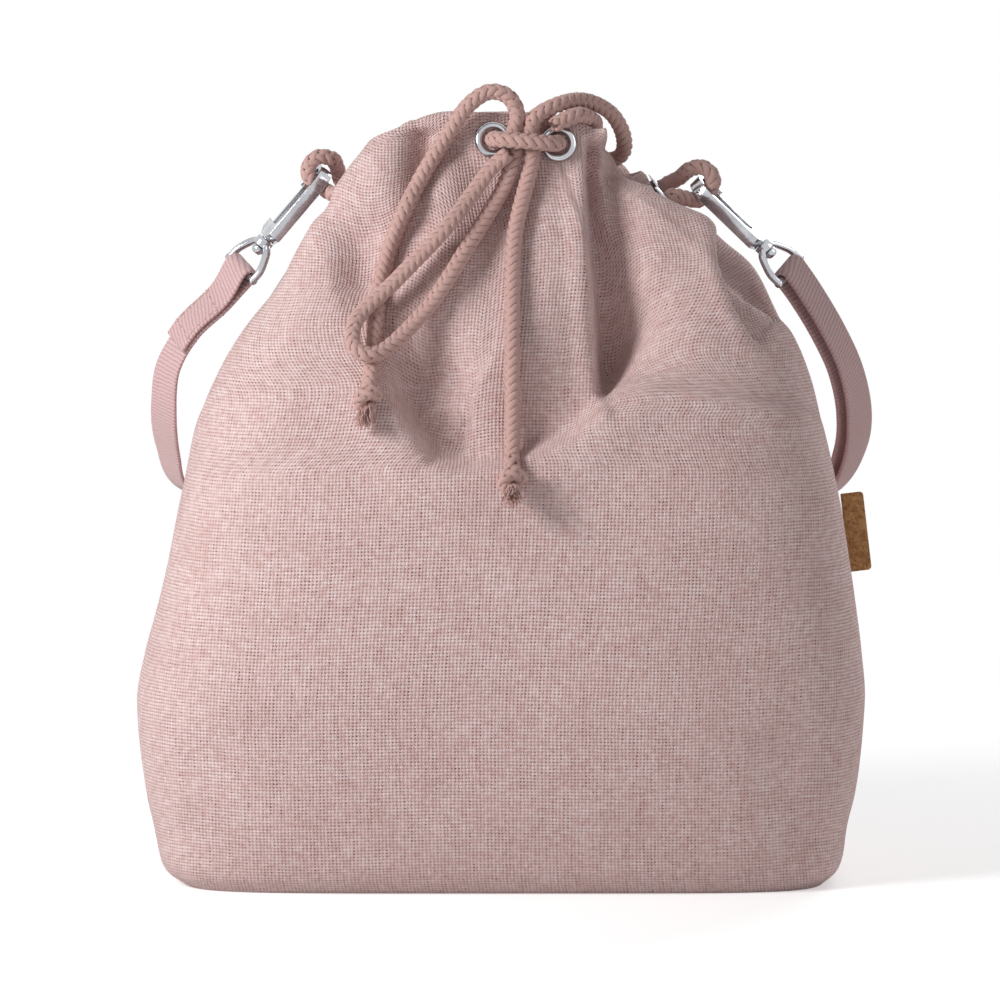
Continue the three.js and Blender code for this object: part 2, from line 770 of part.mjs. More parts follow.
// Overhand knot and frayed tuft at the end of each tail
function endKnot(tail) {
  const end = tail[tail.length - 1];
  const way = end.clone().sub(tail[tail.length - 2]).normalize();
  const profile = [
    [0, 0],
    [CORD_R, 0],
    [KNOT_R, 0.3 * KNOT_LENGTH],
    [KNOT_R, 0.6 * KNOT_LENGTH],
    [CORD_R, KNOT_LENGTH],
    [FRAY_R, KNOT_LENGTH + 0.4 * FRAY_LENGTH],
    [0.8 * FRAY_R, KNOT_LENGTH + FRAY_LENGTH],
    [0, KNOT_LENGTH + FRAY_LENGTH],
  ];
  const spot = end.clone().addScaledVector(way, GAP);
  spot.y -= KNOT_R - CORD_R;
  return aimed(turned(profile, 10), spot, way);
}
add("left_tail_knot", endKnot(tailLeft), CORD_COTTON);
add("right_tail_knot", endKnot(tailRight), CORD_COTTON);

// Hook body: a flat bar bent round the cord, with a forked base for the gate
function hookOutline() {
  const outerR = HOOK_INNER_R + HOOK_BAR;
  const s = HOOK_SEAT_S;
  const g = HOOK_SEAT_G;
  const chamfer = 2;
  const shape = new THREE.Shape();
  shape.moveTo(s + HOOK_LIP, g + outerR);
  shape.lineTo(s, g + outerR);
  shape.absarc(s, g, outerR, Math.PI / 2, (3 * Math.PI) / 2, false);
  shape.lineTo(HOOK_BASE_TO - chamfer, g - outerR);
  shape.lineTo(HOOK_BASE_TO, g - outerR + 1.6 * chamfer);
  shape.lineTo(HOOK_BASE_TO, g + outerR - 1.6 * chamfer);
  shape.lineTo(HOOK_BASE_TO - chamfer, g + outerR);
  shape.lineTo(HOOK_BASE_FROM, g + outerR);
  shape.lineTo(HOOK_BASE_FROM, g - HOOK_INNER_R + chamfer);
  shape.lineTo(HOOK_BASE_FROM - chamfer, g - HOOK_INNER_R);
  shape.lineTo(s, g - HOOK_INNER_R);
  shape.absarc(s, g, HOOK_INNER_R, (3 * Math.PI) / 2, Math.PI / 2, true);
  shape.lineTo(s + HOOK_LIP, g + HOOK_INNER_R);
  shape.closePath();
  return shape;
}

function plate(shape, width, curveSegments = 8) {
  const made = new THREE.ExtrudeGeometry(shape, { depth: width, bevelEnabled: false, curveSegments });
  return made.translate(0, 0, -width / 2);
}

function box(low, high) {
  const size = high.clone().sub(low);
  const middle = low.clone().add(high).multiplyScalar(0.5);
  return new THREE.BoxGeometry(size.x, size.y, size.z).translate(middle.x, middle.y, middle.z);
}

const pinAt = (radius, half) =>
  cylinder(radius, -half, half, 12).rotateX(Math.PI / 2).translate(GATE_PIVOT_S, GATE_PIVOT_G, 0);
const alongHook = (geometry) => geometry.rotateZ(-Math.PI / 2).translate(0, HOOK_SEAT_G, 0);

function hookBody() {
  const slotHalf = GATE_WIDTH / 2 + GAP;
  const slot = box(V(HOOK_BASE_FROM - 1, GATE_SLOT_FLOOR, -slotHalf), V(HOOK_BASE_TO - 0.9, 12, slotHalf));
  const bore = alongHook(cylinder(STUD_R + STUD_CLEAR, STUD_FROM - GAP, HOOK_BASE_TO + 1, 12));
  return toSolid(plate(hookOutline(), HOOK_WIDTH))
    .subtract(toSolid(slot))
    .subtract(toSolid(pinAt(PIN_R + PIN_CLEAR, HOOK_WIDTH)))
    .subtract(toSolid(bore));
}

function gateBody() {
  const top = HOOK_SEAT_G + HOOK_INNER_R - GAP;
  const arm = box(V(GATE_TIP_S, top - GATE, -GATE_WIDTH / 2), V(GATE_PIVOT_S, top, GATE_WIDTH / 2));
  const knuckle = pinAt(GATE_KNUCKLE_R, GATE_WIDTH / 2);
  return toSolid(arm)
    .add(toSolid(knuckle))
    .subtract(toSolid(pinAt(PIN_R + PIN_CLEAR, HOOK_WIDTH)));
}

// A thin leaf behind the gate that pushes it shut
function springLeaf() {
  const top = HOOK_SEAT_G + HOOK_INNER_R - GAP - GATE - GAP;
  const points = [
    V(HOOK_BASE_FROM + 1, GATE_SLOT_FLOOR + GAP + SPRING_WIRE, 0),
    V(HOOK_BASE_FROM - 0.5, GATE_SLOT_FLOOR + GAP + SPRING_WIRE, 0),
    V(HOOK_BASE_FROM - 3, top - SPRING_WIRE, 0),
    V(HOOK_BASE_FROM - 5.5, top - SPRING_WIRE, 0),
  ];
  return tube(points, SPRING_WIRE, 6, 1.2);
}

function studBody() {
  const headFrom = HOOK_BASE_TO + GAP + BOSS + GAP;
  const profile = [
    [0, STUD_FROM],
    [STUD_R, STUD_FROM],
    [STUD_R, headFrom],
    [STUD_HEAD_R, headFrom],
    [STUD_HEAD_R, headFrom + 0.5 * STUD_HEAD],
    [0.6 * STUD_HEAD_R, headFrom + STUD_HEAD],
    [0, headFrom + STUD_HEAD],
  ];
  return alongHook(turned(profile, 14));
}

// Strap eyes: a wire bail from the swivel boss to a straight bar, turned about the hook
const eyeSpread = {
  left: V(0.496, -0.752, -0.43),
  right: V(-0.496, -0.752, -0.43),
};
function eyeFrame(side) {
  const h = hooks[side];
  const spread = eyeSpread[side];
  const b = spread.clone().addScaledVector(h.a, -spread.dot(h.a)).normalize();
  const swivel = inHook(h, 0, HOOK_SEAT_G, 0);
  const at = (s, across) => swivel.clone().addScaledVector(h.a, s).addScaledVector(b, across);
  return { b, at, a: h.a, bar: at(EYE_BAR_S, 0) };
}
function eyeBody(eye) {
  const middle = HOOK_BASE_TO + GAP + BOSS / 2;
  const bail = [];
  for (const across of [-1, 1]) {
    const half = [
      eye.at(EYE_BAR_S, EYE_HALF * across),
      eye.at(EYE_BAR_S - 3.4, EYE_HALF * across),
      eye.at(middle + 4.2, 0.8 * EYE_HALF * across),
      eye.at(middle + 0.8, 0.45 * EYE_HALF * across),
      eye.at(middle, 0),
    ];
    bail.push(...(across < 0 ? half : half.reverse().slice(1)));
  }
  const boss = aimed(cylinder(BOSS_R, -BOSS / 2, BOSS / 2), eye.at(middle, 0), eye.a);
  const bar = aimed(cylinder(EYE_WIRE_R, -EYE_HALF - 1, EYE_HALF + 1, 8), eye.bar, eye.b);
  const bore = aimed(cylinder(STUD_R + STUD_CLEAR, -2 * BOSS, 2 * BOSS), eye.at(middle, 0), eye.a);
  const wire = tube(bail, EYE_WIRE_R, 8, 2.6);
  return toGeometry(toSolid(wire).add(toSolid(bar)).add(toSolid(boss)).subtract(toSolid(bore)));
}

const eyes = {};
for (const side of ["left", "right"]) {
  const h = hooks[side];
  const placed = (geometry) => geometry.applyMatrix4(h.basis);
  eyes[side] = eyeFrame(side);
  add(`${side}_hook`, placed(toGeometry(hookBody())), CHROME);
  add(`${side}_gate`, placed(toGeometry(gateBody())), CHROME);
  add(`${side}_gate_pin`, placed(pinAt(PIN_R, HOOK_WIDTH / 2)), CHROME);
  add(`${side}_gate_spring`, placed(springLeaf()), CHROME);
  add(`${side}_swivel_stud`, placed(studBody()), CHROME);
  add(`${side}_strap_eye`, eyeBody(eyes[side]), CHROME);
}

// Strap route from the left eye, down behind the bag and up to the right eye, with the way its width lies
const fromEye = (side, x, y, z) => eyes[side].bar.clone().add(V(x, y, z));
const strapRoute = [
  [eyes.left.bar, eyes.left.b],
  [fromEye("left", -6.46, 1.19, -8.68), V(0.7, -1, -0.5)],
  [raised(-99.5, 3.4, 173), V(0.75, -1, -0.3)],
  [raised(-106.4, 7.6, 161), V(0.75, -1, 0)],
  [raised(-108.2, 17, 146), V(0.75, -1, 0)],
  [raised(-108, 32, 132), V(0.6, -1, 0)],
  [raised(-105, 46, 120), V(0.4, -1, 0)],
  [raised(-90, 60, 110), V(0.2, -1, 0)],
  [raised(-76, 67, 98), V(0, -1, 0)],
  [raised(-55, 71, 88), V(0, -1, 0)],
  [raised(-30, 72.8, 81), V(0, -1, 0)],
  [raised(0, 73.5, 78), V(0, -1, 0)],
  [raised(30, 72.8, 81), V(0, -1, 0)],
  [raised(56, 71, 88), V(0, -1, 0)],
  [raised(78, 67, 98), V(0, -1, 0)],
  [raised(93, 60, 110), V(-0.2, -1, 0)],
  [raised(108.5, 47, 119), V(-0.4, -1, 0)],
  [raised(114, 32, 133), V(-0.6, -1, 0)],
  [raised(114, 19, 146), V(-0.75, -1, 0)],
  [raised(110.4, 9.6, 160), V(-0.75, -1, 0)],
  [raised(104.4, 4, 172.4), V(-0.75, -1, -0.3)],
  [fromEye("right", 5.1, 1.19, -7.08), V(-0.7, -1, -0.5)],
  [eyes.right.bar, eyes.right.b],
];

function strapStations() {
  const path = new THREE.CatmullRomCurve3(strapRoute.map(([q]) => q.clone()), false, "centripetal");
  path.arcLengthDivisions = 600;
  const length = path.getLength();
  const spread = new THREE.CatmullRomCurve3(strapRoute.map(([, w]) => w.clone()), false, "catmullrom");
  const mid = (s) => {
    const u = THREE.MathUtils.clamp(s / length, 0, 1);
    const p = path.getPointAt(u);
    const t = path.getTangentAt(u);
    const w = spread.getPoint(path.getUtoTmapping(u));
    w.addScaledVector(t, -w.dot(t)).normalize();
    const f = new THREE.Vector3().crossVectors(w, t).normalize();
    return { p, t, w, f };
  };
  const turnR = EYE_WIRE_R + GAP + STRAP / 2;
  const settle = (s) => Math.exp(-((s / 6) ** 2));
  const leftHalf = (s) => LAYER_HALF + (turnR - LAYER_HALF) * settle(s);
  const rightEnd = (s) => THREE.MathUtils.smoothstep(s, RIGHT_TAIL - 45, RIGHT_TAIL);
  const rightHalf = (s) => {
    const open = RIGHT_LAYER_HALF + (LAYER_HALF - RIGHT_LAYER_HALF) * rightEnd(s);
    return open + (turnR - open) * settle(s);
  };
  const stations = [];
  const put = (s, offset) => {
    const m = mid(s);
    stations.push({ p: m.p.addScaledVector(m.f, offset), w: m.w });
  };
  const turn = (s, from) => {
    const m = mid(s);
    const away = m.t.clone().multiplyScalar(s > 0 ? 1 : -1);
    for (let i = 1; i < STRAP_TURN_STEPS; i += 1) {
      const angle = (Math.PI * i) / STRAP_TURN_STEPS;
      const p = m.p.clone();
      p.addScaledVector(m.f, from * turnR * Math.cos(angle));
      p.addScaledVector(away, turnR * Math.sin(angle));
      stations.push({ p, w: m.w });
    }
  };
  const outSide = -1;
  const count = (span) => Math.ceil(span / STRAP_STEP);
  const tailSteps = count(LEFT_TAIL);
  for (let i = tailSteps; i >= 0; i -= 1) {
    const s = (LEFT_TAIL * i) / tailSteps;
    put(s, outSide * leftHalf(s));
  }
  turn(0, outSide);
  const mainSteps = count(length);
  for (let i = 0; i <= mainSteps; i += 1) {
    const s = (length * i) / mainSteps;
    const back = length - s;
    const leftPart = 1 - THREE.MathUtils.smoothstep(s, LEFT_TAIL, 2 * LEFT_TAIL);
    const rightPart = 1 - THREE.MathUtils.smoothstep(back, RIGHT_TAIL, RIGHT_TAIL + LEFT_TAIL);
    put(s, outSide * (rightPart * rightHalf(back) - leftPart * leftHalf(s)));
  }
  turn(length, outSide);
  const returnSteps = count(RIGHT_TAIL);
  for (let i = 0; i <= returnSteps; i += 1) {
    const s = (RIGHT_TAIL * i) / returnSteps;
    put(length - s, -outSide * rightHalf(s));
  }
  return stations;
}

function ribbon(stations, width, thickness) {
  const last = stations.length - 1;
  const rows = [[], [], [], []];
  stations.forEach((station, i) => {
    const before = stations[Math.max(i - 1, 0)].p;
    const after = stations[Math.min(i + 1, last)].p;
    const t = after.clone().sub(before).normalize();
    const w = station.w.clone().addScaledVector(t, -station.w.dot(t)).normalize();
    const f = new THREE.Vector3().crossVectors(t, w);
    [[-1, -1], [1, -1], [1, 1], [-1, 1]].forEach(([across, over], k) => {
      const q = station.p.clone().addScaledVector(w, (across * width) / 2);
      rows[k].push(q.addScaledVector(f, (over * thickness) / 2));
    });
  });
  return shell([rows[0], rows[1]], [rows[3], rows[2]]);
}
add("strap_webbing", ribbon(strapStations(), STRAP_WIDTH, STRAP), WEBBING);

// Cork label sewn along the right side seam
function sideLabel() {
  const low = flankSpot(0, LABEL_FROM, 1);
  const high = flankSpot(0, LABEL_TO, 1);
  const up = high.clone().sub(low).normalize();
  const out = V(up.z, 0, -up.x);
  const height = high.distanceTo(low);
  const c = LABEL_CORNER;
  const shape = new THREE.Shape();
  shape.moveTo(0, 0);
  shape.lineTo(LABEL_OUT - c, 0);
  shape.absarc(LABEL_OUT - c, c, c, -Math.PI / 2, 0, false);
  shape.absarc(LABEL_OUT - c, height - c, c, 0, Math.PI / 2, false);
  shape.lineTo(0, height);
  shape.closePath();
  const frame = new THREE.Matrix4().makeBasis(out, up, V(0, -1, 0));
  const origin = low.clone().addScaledVector(out, LABEL_OFF);
  return plate(shape, LABEL, 3).applyMatrix4(frame.setPosition(origin));
}
add("side_label", sideLabel(), CORK);

export default bag;
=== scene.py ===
# %% [markdown]
# A linen bento bag, dressed in Blender.
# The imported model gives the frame: every body, joint and size is already settled there. This lesson
# puts cloth, braided cord, webbing, bright metal and cork on that frame. All lengths in the tables
# are millimetres, and one helper turns them into metres when a mesh is made.

# %% Frame and tools
import math
import bpy
import bmesh
import numpy as np
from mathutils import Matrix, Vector
from mathutils.bvhtree import BVHTree


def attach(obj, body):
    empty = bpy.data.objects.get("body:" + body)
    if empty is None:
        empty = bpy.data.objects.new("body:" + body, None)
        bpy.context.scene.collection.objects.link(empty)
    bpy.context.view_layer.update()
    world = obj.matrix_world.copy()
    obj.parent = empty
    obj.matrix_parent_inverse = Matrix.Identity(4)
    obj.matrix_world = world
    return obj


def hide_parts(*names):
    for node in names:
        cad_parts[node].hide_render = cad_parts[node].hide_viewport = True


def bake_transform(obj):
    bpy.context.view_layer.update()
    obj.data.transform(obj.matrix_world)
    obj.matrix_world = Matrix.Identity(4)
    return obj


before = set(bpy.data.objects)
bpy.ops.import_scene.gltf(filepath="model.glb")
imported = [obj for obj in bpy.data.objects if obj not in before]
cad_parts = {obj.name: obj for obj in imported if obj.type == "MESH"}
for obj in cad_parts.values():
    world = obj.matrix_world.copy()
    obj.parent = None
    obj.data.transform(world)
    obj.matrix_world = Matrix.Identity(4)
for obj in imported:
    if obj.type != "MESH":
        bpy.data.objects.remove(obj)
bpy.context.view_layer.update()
scene = bpy.context.scene
scene.view_settings.view_transform = "Standard"
MM = 0.001

# %% [markdown]
# The camera comes first. The photograph was taken with a long lens from just above the middle of the
# bag, so the sides hardly converge. A pixel of the photograph is 0.3125 mm at the front of the bag,
# and the helper below turns a pixel into a place on that plane, so that folds and loops can be read
# straight off the picture.

# %% Camera
PIXEL = 0.3125
FLOOR_PIXEL = 888
CAMERA_AWAY = 1500.0
CAMERA_TILT = math.radians(5.0)
AIM = np.array([0.0, -30.0, (FLOOR_PIXEL - 500) * PIXEL])
SENSOR = 36.0


def from_pixel(px, py):
    return (px - 500) * PIXEL, (FLOOR_PIXEL - py) * PIXEL


camera_data = bpy.data.cameras.new("camera")
camera_data.sensor_width = SENSOR
camera_data.lens = SENSOR * CAMERA_AWAY / (1000 * PIXEL)
camera = bpy.data.objects.new("camera", camera_data)
camera_at = AIM + CAMERA_AWAY * np.array([0.0, -math.cos(CAMERA_TILT), math.sin(CAMERA_TILT)])
camera.location = Vector(camera_at * MM)
camera.rotation_euler = (math.pi / 2 - CAMERA_TILT, 0, 0)
scene.collection.objects.link(camera)
scene.camera = camera
print("camera:", round(camera_data.lens), "mm lens at", [round(float(v)) for v in camera_at])

# %% [markdown]
# The body of the bag follows a table of levels: height, half width, half depth, squareness and
# sideways shift. It is the same table that the solid was built from, so the cloth can't drift away
# from it. A smooth curve runs through each column.

# %% Bag form
LEVELS = np.array([
    [0, 101, 48, 6.0, 1.2], [4, 106.2, 52, 5.5, 0.6], [10, 108.6, 55, 5.0, 0.4], [28, 112.6, 60, 4.4, 0.2],
    [57, 115.2, 63.8, 4.0, 0.2], [72, 113.25, 64.3, 3.8, 0.75], [88, 110, 63.8, 3.7, 1.75],
    [102, 107.45, 62.8, 3.6, 2.55], [121, 104.45, 60.5, 3.6, 3.25], [146, 99, 55, 3.6, 3],
    [160, 94.2, 50.5, 3.6, 4], [174, 87, 45.5, 3.5, 5], [190, 75.5, 39.8, 3.5, 5.5],
    [205, 59, 34, 3.6, 2], [214, 49.5, 31, 3.8, 1.5],
    [222, 45, 28.6, 4.0, 1.5], [232, 41.5, 26.3, 4.0, 1.5], [241, 39, 25.2, 4.0, 1.5],
])
RIM, RIM_SIDE_DROP, RIM_TILT = 241.0, 15.0, 3.0
CLOTH = 1.8
LEVEL_Z = LEVELS[:, 0]


def level(z, column):
    values = LEVELS[:, column]
    last = len(LEVEL_Z) - 1
    ahead = np.minimum(np.arange(last + 1) + 1, last)
    behind = np.maximum(np.arange(last + 1) - 1, 0)
    slopes = (values[ahead] - values[behind]) / (LEVEL_Z[ahead] - LEVEL_Z[behind])
    i = np.clip(np.searchsorted(LEVEL_Z, z, side="left") - 1, 0, last - 1)
    span = LEVEL_Z[i + 1] - LEVEL_Z[i]
    u = (z - LEVEL_Z[i]) / span
    blend = u * u * (3 - 2 * u)
    bow_in = u * (1 - u) ** 2 * span * slopes[i]
    bow_out = u * u * (u - 1) * span * slopes[i + 1]
    return values[i] + (values[i + 1] - values[i]) * blend + bow_in + bow_out


def section(z, inset=0.0):
    return level(z, 1) - inset, level(z, 2) - inset, level(z, 3), level(z, 4)


def rim_height(angle):
    return RIM - RIM_SIDE_DROP * np.cos(angle) ** 2 - RIM_TILT * np.cos(angle)


def ring(angle, z, inset=0.0):
    a, b, p, c = section(z, inset)
    x = c + a * np.sign(np.cos(angle)) * np.abs(np.cos(angle)) ** (2 / p)
    y = b * np.sign(np.sin(angle)) * np.abs(np.sin(angle)) ** (2 / p)
    return np.stack([x, y, z + 0 * x], axis=-1)


def bag_value(q):
    a, b, p, c = section(q[2])
    return abs((q[0] - c) / a) ** p + abs(q[1] / b) ** p


def bag_normal(q):
    steps = 0.05 * np.eye(3)
    slope = np.array([bag_value(q + s) - bag_value(q - s) for s in steps])
    return slope / np.linalg.norm(slope)


def face_spot(x, z, side):
    a, b, p, c = section(z)
    return np.array([x, side * b * max(1 - abs((x - c) / a) ** p, 0) ** (1 / p), z])


def flank_spot(y, z, side):
    a, b, p, c = section(z)
    return np.array([c + side * a * (1 - abs(y / b) ** p) ** (1 / p), y, z])


print("bag: half width at the widest", round(float(level(57.0, 1)), 1), "mm")

# %% [markdown]
# Small tools that every piece uses: one makes a mesh from a grid of points, one sweeps a section
# along a route, one turns a profile round an axis. A finished piece always sits at the origin, with
# its place in its mesh.

# %% Mesh tools
def make_object(name, points, faces, uv=None, smooth=True):
    mesh = bpy.data.meshes.new(name)
    mesh.from_pydata((np.asarray(points) * MM).tolist(), [], faces)
    if uv is not None:
        layer = mesh.uv_layers.new(name="cloth")
        corners = np.empty(len(mesh.loops), dtype=np.int32)
        mesh.loops.foreach_get("vertex_index", corners)
        layer.data.foreach_set("uv", (np.asarray(uv)[corners] * MM).astype(np.float32).ravel())
    mesh.polygons.foreach_set("use_smooth", [smooth] * len(mesh.polygons))
    mesh.update()
    made = bpy.data.objects.new(name, mesh)
    scene.collection.objects.link(made)
    return made


def grid_faces(rows, columns, closed=False):
    faces = []
    across = columns if closed else columns - 1
    for r in range(rows - 1):
        for c in range(across):
            d = (c + 1) % columns
            faces.append((r * columns + c, r * columns + d, (r + 1) * columns + d, (r + 1) * columns + c))
    return faces


def smooth_route(points, step):
    points = np.asarray(points, dtype=float)
    padded = np.vstack([2 * points[0] - points[1], points, 2 * points[-1] - points[-2]])
    dense = []
    for k in range(1, len(padded) - 2):
        p = padded[k - 1:k + 3]
        gaps = np.maximum(np.linalg.norm(np.diff(p, axis=0), axis=1) ** 0.5, 1e-4)
        t0, t1, t2, t3 = np.concatenate([[0], np.cumsum(gaps)])
        t = np.linspace(t1, t2, 24, endpoint=False)[:, None]
        a1 = ((t1 - t) * p[0] + (t - t0) * p[1]) / (t1 - t0)
        a2 = ((t2 - t) * p[1] + (t - t1) * p[2]) / (t2 - t1)
        a3 = ((t3 - t) * p[2] + (t - t2) * p[3]) / (t3 - t2)
        b1 = ((t2 - t) * a1 + (t - t0) * a2) / (t2 - t0)
        b2 = ((t3 - t) * a2 + (t - t1) * a3) / (t3 - t1)
        dense.append(((t2 - t) * b1 + (t - t1) * b2) / (t2 - t1))
    dense = np.vstack(dense + [points[-1:]])
    along = np.concatenate([[0], np.cumsum(np.linalg.norm(np.diff(dense, axis=0), axis=1))])
    count = max(3, int(round(along[-1] / step)) + 1)
    at = np.linspace(0, along[-1], count)
    return np.stack([np.interp(at, along, dense[:, k]) for k in range(3)], axis=1), at


def unit(v):
    return v / np.maximum(np.linalg.norm(v, axis=-1, keepdims=True), 1e-12)


def frames_along(route):
    tangent = unit(np.gradient(route, axis=0))
    side = np.zeros_like(route)
    start = np.cross(tangent[0], [0.3, 0.2, 1.0])
    side[0] = start / np.linalg.norm(start)
    for i in range(1, len(route)):
        kept = side[i - 1] - tangent[i] * np.dot(side[i - 1], tangent[i])
        side[i] = kept / np.linalg.norm(kept)
    return tangent, side, np.cross(tangent, side)


def tube_points(route, radius, sides):
    _, side, up = frames_along(route)
    turn = np.linspace(0, 2 * np.pi, sides, endpoint=False)
    radius = np.broadcast_to(radius, len(route))[:, None, None]
    spoke = side[:, None] * np.cos(turn)[None, :, None] + up[:, None] * np.sin(turn)[None, :, None]
    return route[:, None] + radius * spoke


class Parts:
    """Gathers several small surfaces into one mesh."""

    def __init__(self):
        self.points, self.faces, self.uv, self.count = [], [], [], 0

    def add(self, grid, closed=True, caps=True, uv=None):
        rows, columns = grid.shape[:2]
        flat = grid.reshape(-1, 3)
        self.points.append(flat)
        self.uv.append(np.zeros((len(flat), 2)) if uv is None else uv.reshape(-1, 2))
        self.faces += [tuple(i + self.count for i in f) for f in grid_faces(rows, columns, closed)]
        if caps and closed:
            self.faces.append(tuple(self.count + c for c in reversed(range(columns))))
            self.faces.append(tuple(self.count + (rows - 1) * columns + c for c in range(columns)))
        self.count += len(flat)

    def object(self, name, smooth=True):
        return make_object(name, np.vstack(self.points), self.faces, np.vstack(self.uv), smooth)


def basis(direction, hint=(0.0, 0.0, 1.0)):
    n = np.asarray(direction, float)
    n = n / np.linalg.norm(n)
    u = np.cross(hint, n)
    u = u / np.linalg.norm(u)
    return u, np.cross(n, u), n


def turned(profile, origin, direction, sides=48):
    u, v, n = basis(direction)
    turn = np.linspace(0, 2 * np.pi, sides, endpoint=False)
    grid = []
    for radius, height in profile:
        spoke = np.cos(turn)[:, None] * u + np.sin(turn)[:, None] * v
        grid.append(np.asarray(origin) + height * n + radius * spoke)
    return np.array(grid)


def finish_piece(piece, body, slot, material, *nodes):
    piece.data.materials.clear()
    piece.data.materials.append(material)
    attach(piece, body)
    if nodes:
        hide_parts(*nodes)


print("mesh tools ready")

# %% [markdown]
# Materials are written as sums. A small class wraps a node socket, so that a pattern reads like the
# formula it is: adding or multiplying two sockets makes the Math node for it. One general method
# makes any other node.

# %% Node sums
class Term:
    def __init__(self, shade, socket):
        self.shade, self.socket = shade, socket

    def _sum(self, operation, *others):
        node = self.shade.tree.nodes.new("ShaderNodeMath")
        node.operation = operation
        for slot_in, value in zip(node.inputs, (self,) + others):
            self.shade.feed(slot_in, value)
        return Term(self.shade, node.outputs[0])

    def __add__(self, other):
        return self._sum("ADD", other)

    def __sub__(self, other):
        return self._sum("SUBTRACT", other)

    def __mul__(self, other):
        return self._sum("MULTIPLY", other)

    def __truediv__(self, other):
        return self._sum("DIVIDE", other)

    def __mod__(self, other):
        return self._sum("FLOORED_MODULO", other)

    def sin(self):
        return self._sum("SINE")

    def floor(self):
        return self._sum("FLOOR")

    def fract(self):
        return self._sum("FRACT")

    def size(self):
        return self._sum("ABSOLUTE")

    def power(self, exponent):
        return self._sum("POWER", exponent)

    def most(self, other):
        return self._sum("MAXIMUM", other)

    def least(self, other):
        return self._sum("MINIMUM", other)

    def between(self, low, high):
        return self.shade.node("ShaderNodeMapRange", {"From Min": low, "From Max": high}, Value=self)


class Shade:
    def __init__(self, name, roughness=0.8, metallic=0.0):
        self.material = bpy.data.materials.new(name)
        self.material.use_nodes = True
        self.tree = self.material.node_tree
        self.bsdf = self.tree.nodes["Principled BSDF"]
        self.bsdf.inputs["Roughness"].default_value = roughness
        self.bsdf.inputs["Metallic"].default_value = metallic

    def feed(self, slot_in, value):
        if isinstance(value, Term):
            self.tree.links.new(value.socket, slot_in)
        elif isinstance(value, tuple) and len(value) == 3 and slot_in.type == "RGBA":
            slot_in.default_value = (*value, 1.0)
        else:
            slot_in.default_value = value

    def node(self, kind, values=None, out=0, settings=None, **links):
        node = self.tree.nodes.new(kind)
        for key, value in (settings or {}).items():
            setattr(node, key, value)
        for key, value in {**(values or {}), **links}.items():
            self.feed(node.inputs[key], value)
        return Term(self, node.outputs[out])

    def place(self, kind="Object"):
        return self.node("ShaderNodeTexCoord", out=["Generated", "Normal", "UV", "Object"].index(kind))

    def split(self, vector):
        node = self.tree.nodes.new("ShaderNodeSeparateXYZ")
        self.feed(node.inputs[0], vector)
        return [Term(self, socket) for socket in node.outputs]

    def join(self, x, y, z=0.0):
        return self.node("ShaderNodeCombineXYZ", X=x, Y=y, Z=z)

    def noise(self, vector, scale, detail=2.0, roughness=0.5):
        return self.node("ShaderNodeTexNoise", {"Scale": scale, "Detail": detail, "Roughness": roughness},
                         Vector=vector)

    def mix(self, factor, one, two):
        node = self.tree.nodes.new("ShaderNodeMix")
        node.data_type = "RGBA"
        for key, value in ((0, factor), (6, one), (7, two)):
            self.feed(node.inputs[key], value)
        return Term(self, node.outputs[2])

    def bump(self, height, distance, strength=1.0):
        bump = self.node("ShaderNodeBump", {"Strength": strength, "Distance": distance}, Height=height)
        self.feed(self.bsdf.inputs["Normal"], bump)

    def set(self, **links):
        for key, value in links.items():
            self.feed(self.bsdf.inputs[key.replace("_", " ")], value)


def tone(r, g, b):
    part = lambda v: v / 12.92 if v <= 0.04045 else ((v + 0.055) / 1.055) ** 2.4
    return tuple(part(v / 255) for v in (r, g, b))


print("node sums ready")

# %% [markdown]
# The linen is a coarse plain weave: uneven light threads about a millimetre apart, with a dark
# reddish gap at every crossing. The pattern runs on a UV map that counts millimetres of cloth, so a
# thread keeps its size on a fold.

# %% Linen
def weave(shade, pitch_across, pitch_along, wander):
    u, v, _ = shade.split(shade.place("UV"))
    place = shade.join(u, v)
    drift_u = shade.noise(shade.join(u, v * 0.4), 130.0, 2.0)
    drift_v = shade.noise(shade.join(u * 0.4, v), 130.0, 2.0)
    across = u / pitch_across + (drift_u - 0.5) * wander
    along = v / pitch_along + (drift_v - 0.5) * wander
    gap_column, gap_row = (across + 0.5).floor(), (along + 0.5).floor()
    off_column = ((across + 0.5).fract() - 0.5).size()
    off_row = ((along + 0.5).fract() - 0.5).size()
    loose_column = shade.noise(shade.join(gap_column * 0.731, along * 0.012), 7.3, 1.0).between(0.4, 0.66)
    loose_row = shade.noise(shade.join(across * 0.012, gap_row * 0.817), 6.1, 1.0).between(0.3, 0.7)
    single = shade.noise(shade.join(gap_column * 1.37, gap_row * 1.71), 9.7, 1.0)
    spread = (off_column / 0.3).power(2.0) + (off_row / 0.27).power(2.0)
    hole = (spread * -1.0 + 1.0).most(0.0).power(0.6)
    hole = hole * (loose_column * 0.7 + loose_row * 0.3 + 0.25) * single.between(0.15, 0.7)
    lines = (off_row * -3.4 + 1.0).most(0.0) * 0.75 + (off_column * -4.4 + 1.0).most(0.0) * 0.3
    over = ((across.floor() + along.floor()) % 2.0) * 2.0 - 1.0
    warp = (across.fract() * math.pi).sin()
    weft = (along.fract() * math.pi).sin()
    height = (warp * (over * weft * 0.4 + 0.6)).most(weft * (over * warp * -0.4 + 0.6))
    warp_tone = shade.noise(shade.join(across.floor() * 0.731, along * 0.05), 7.3, 1.0)
    weft_tone = shade.noise(shade.join(across * 0.05, along.floor() * 0.817), 6.1, 1.0)
    return place, height, hole.least(1.0), lines, (warp_tone + weft_tone) * 0.5


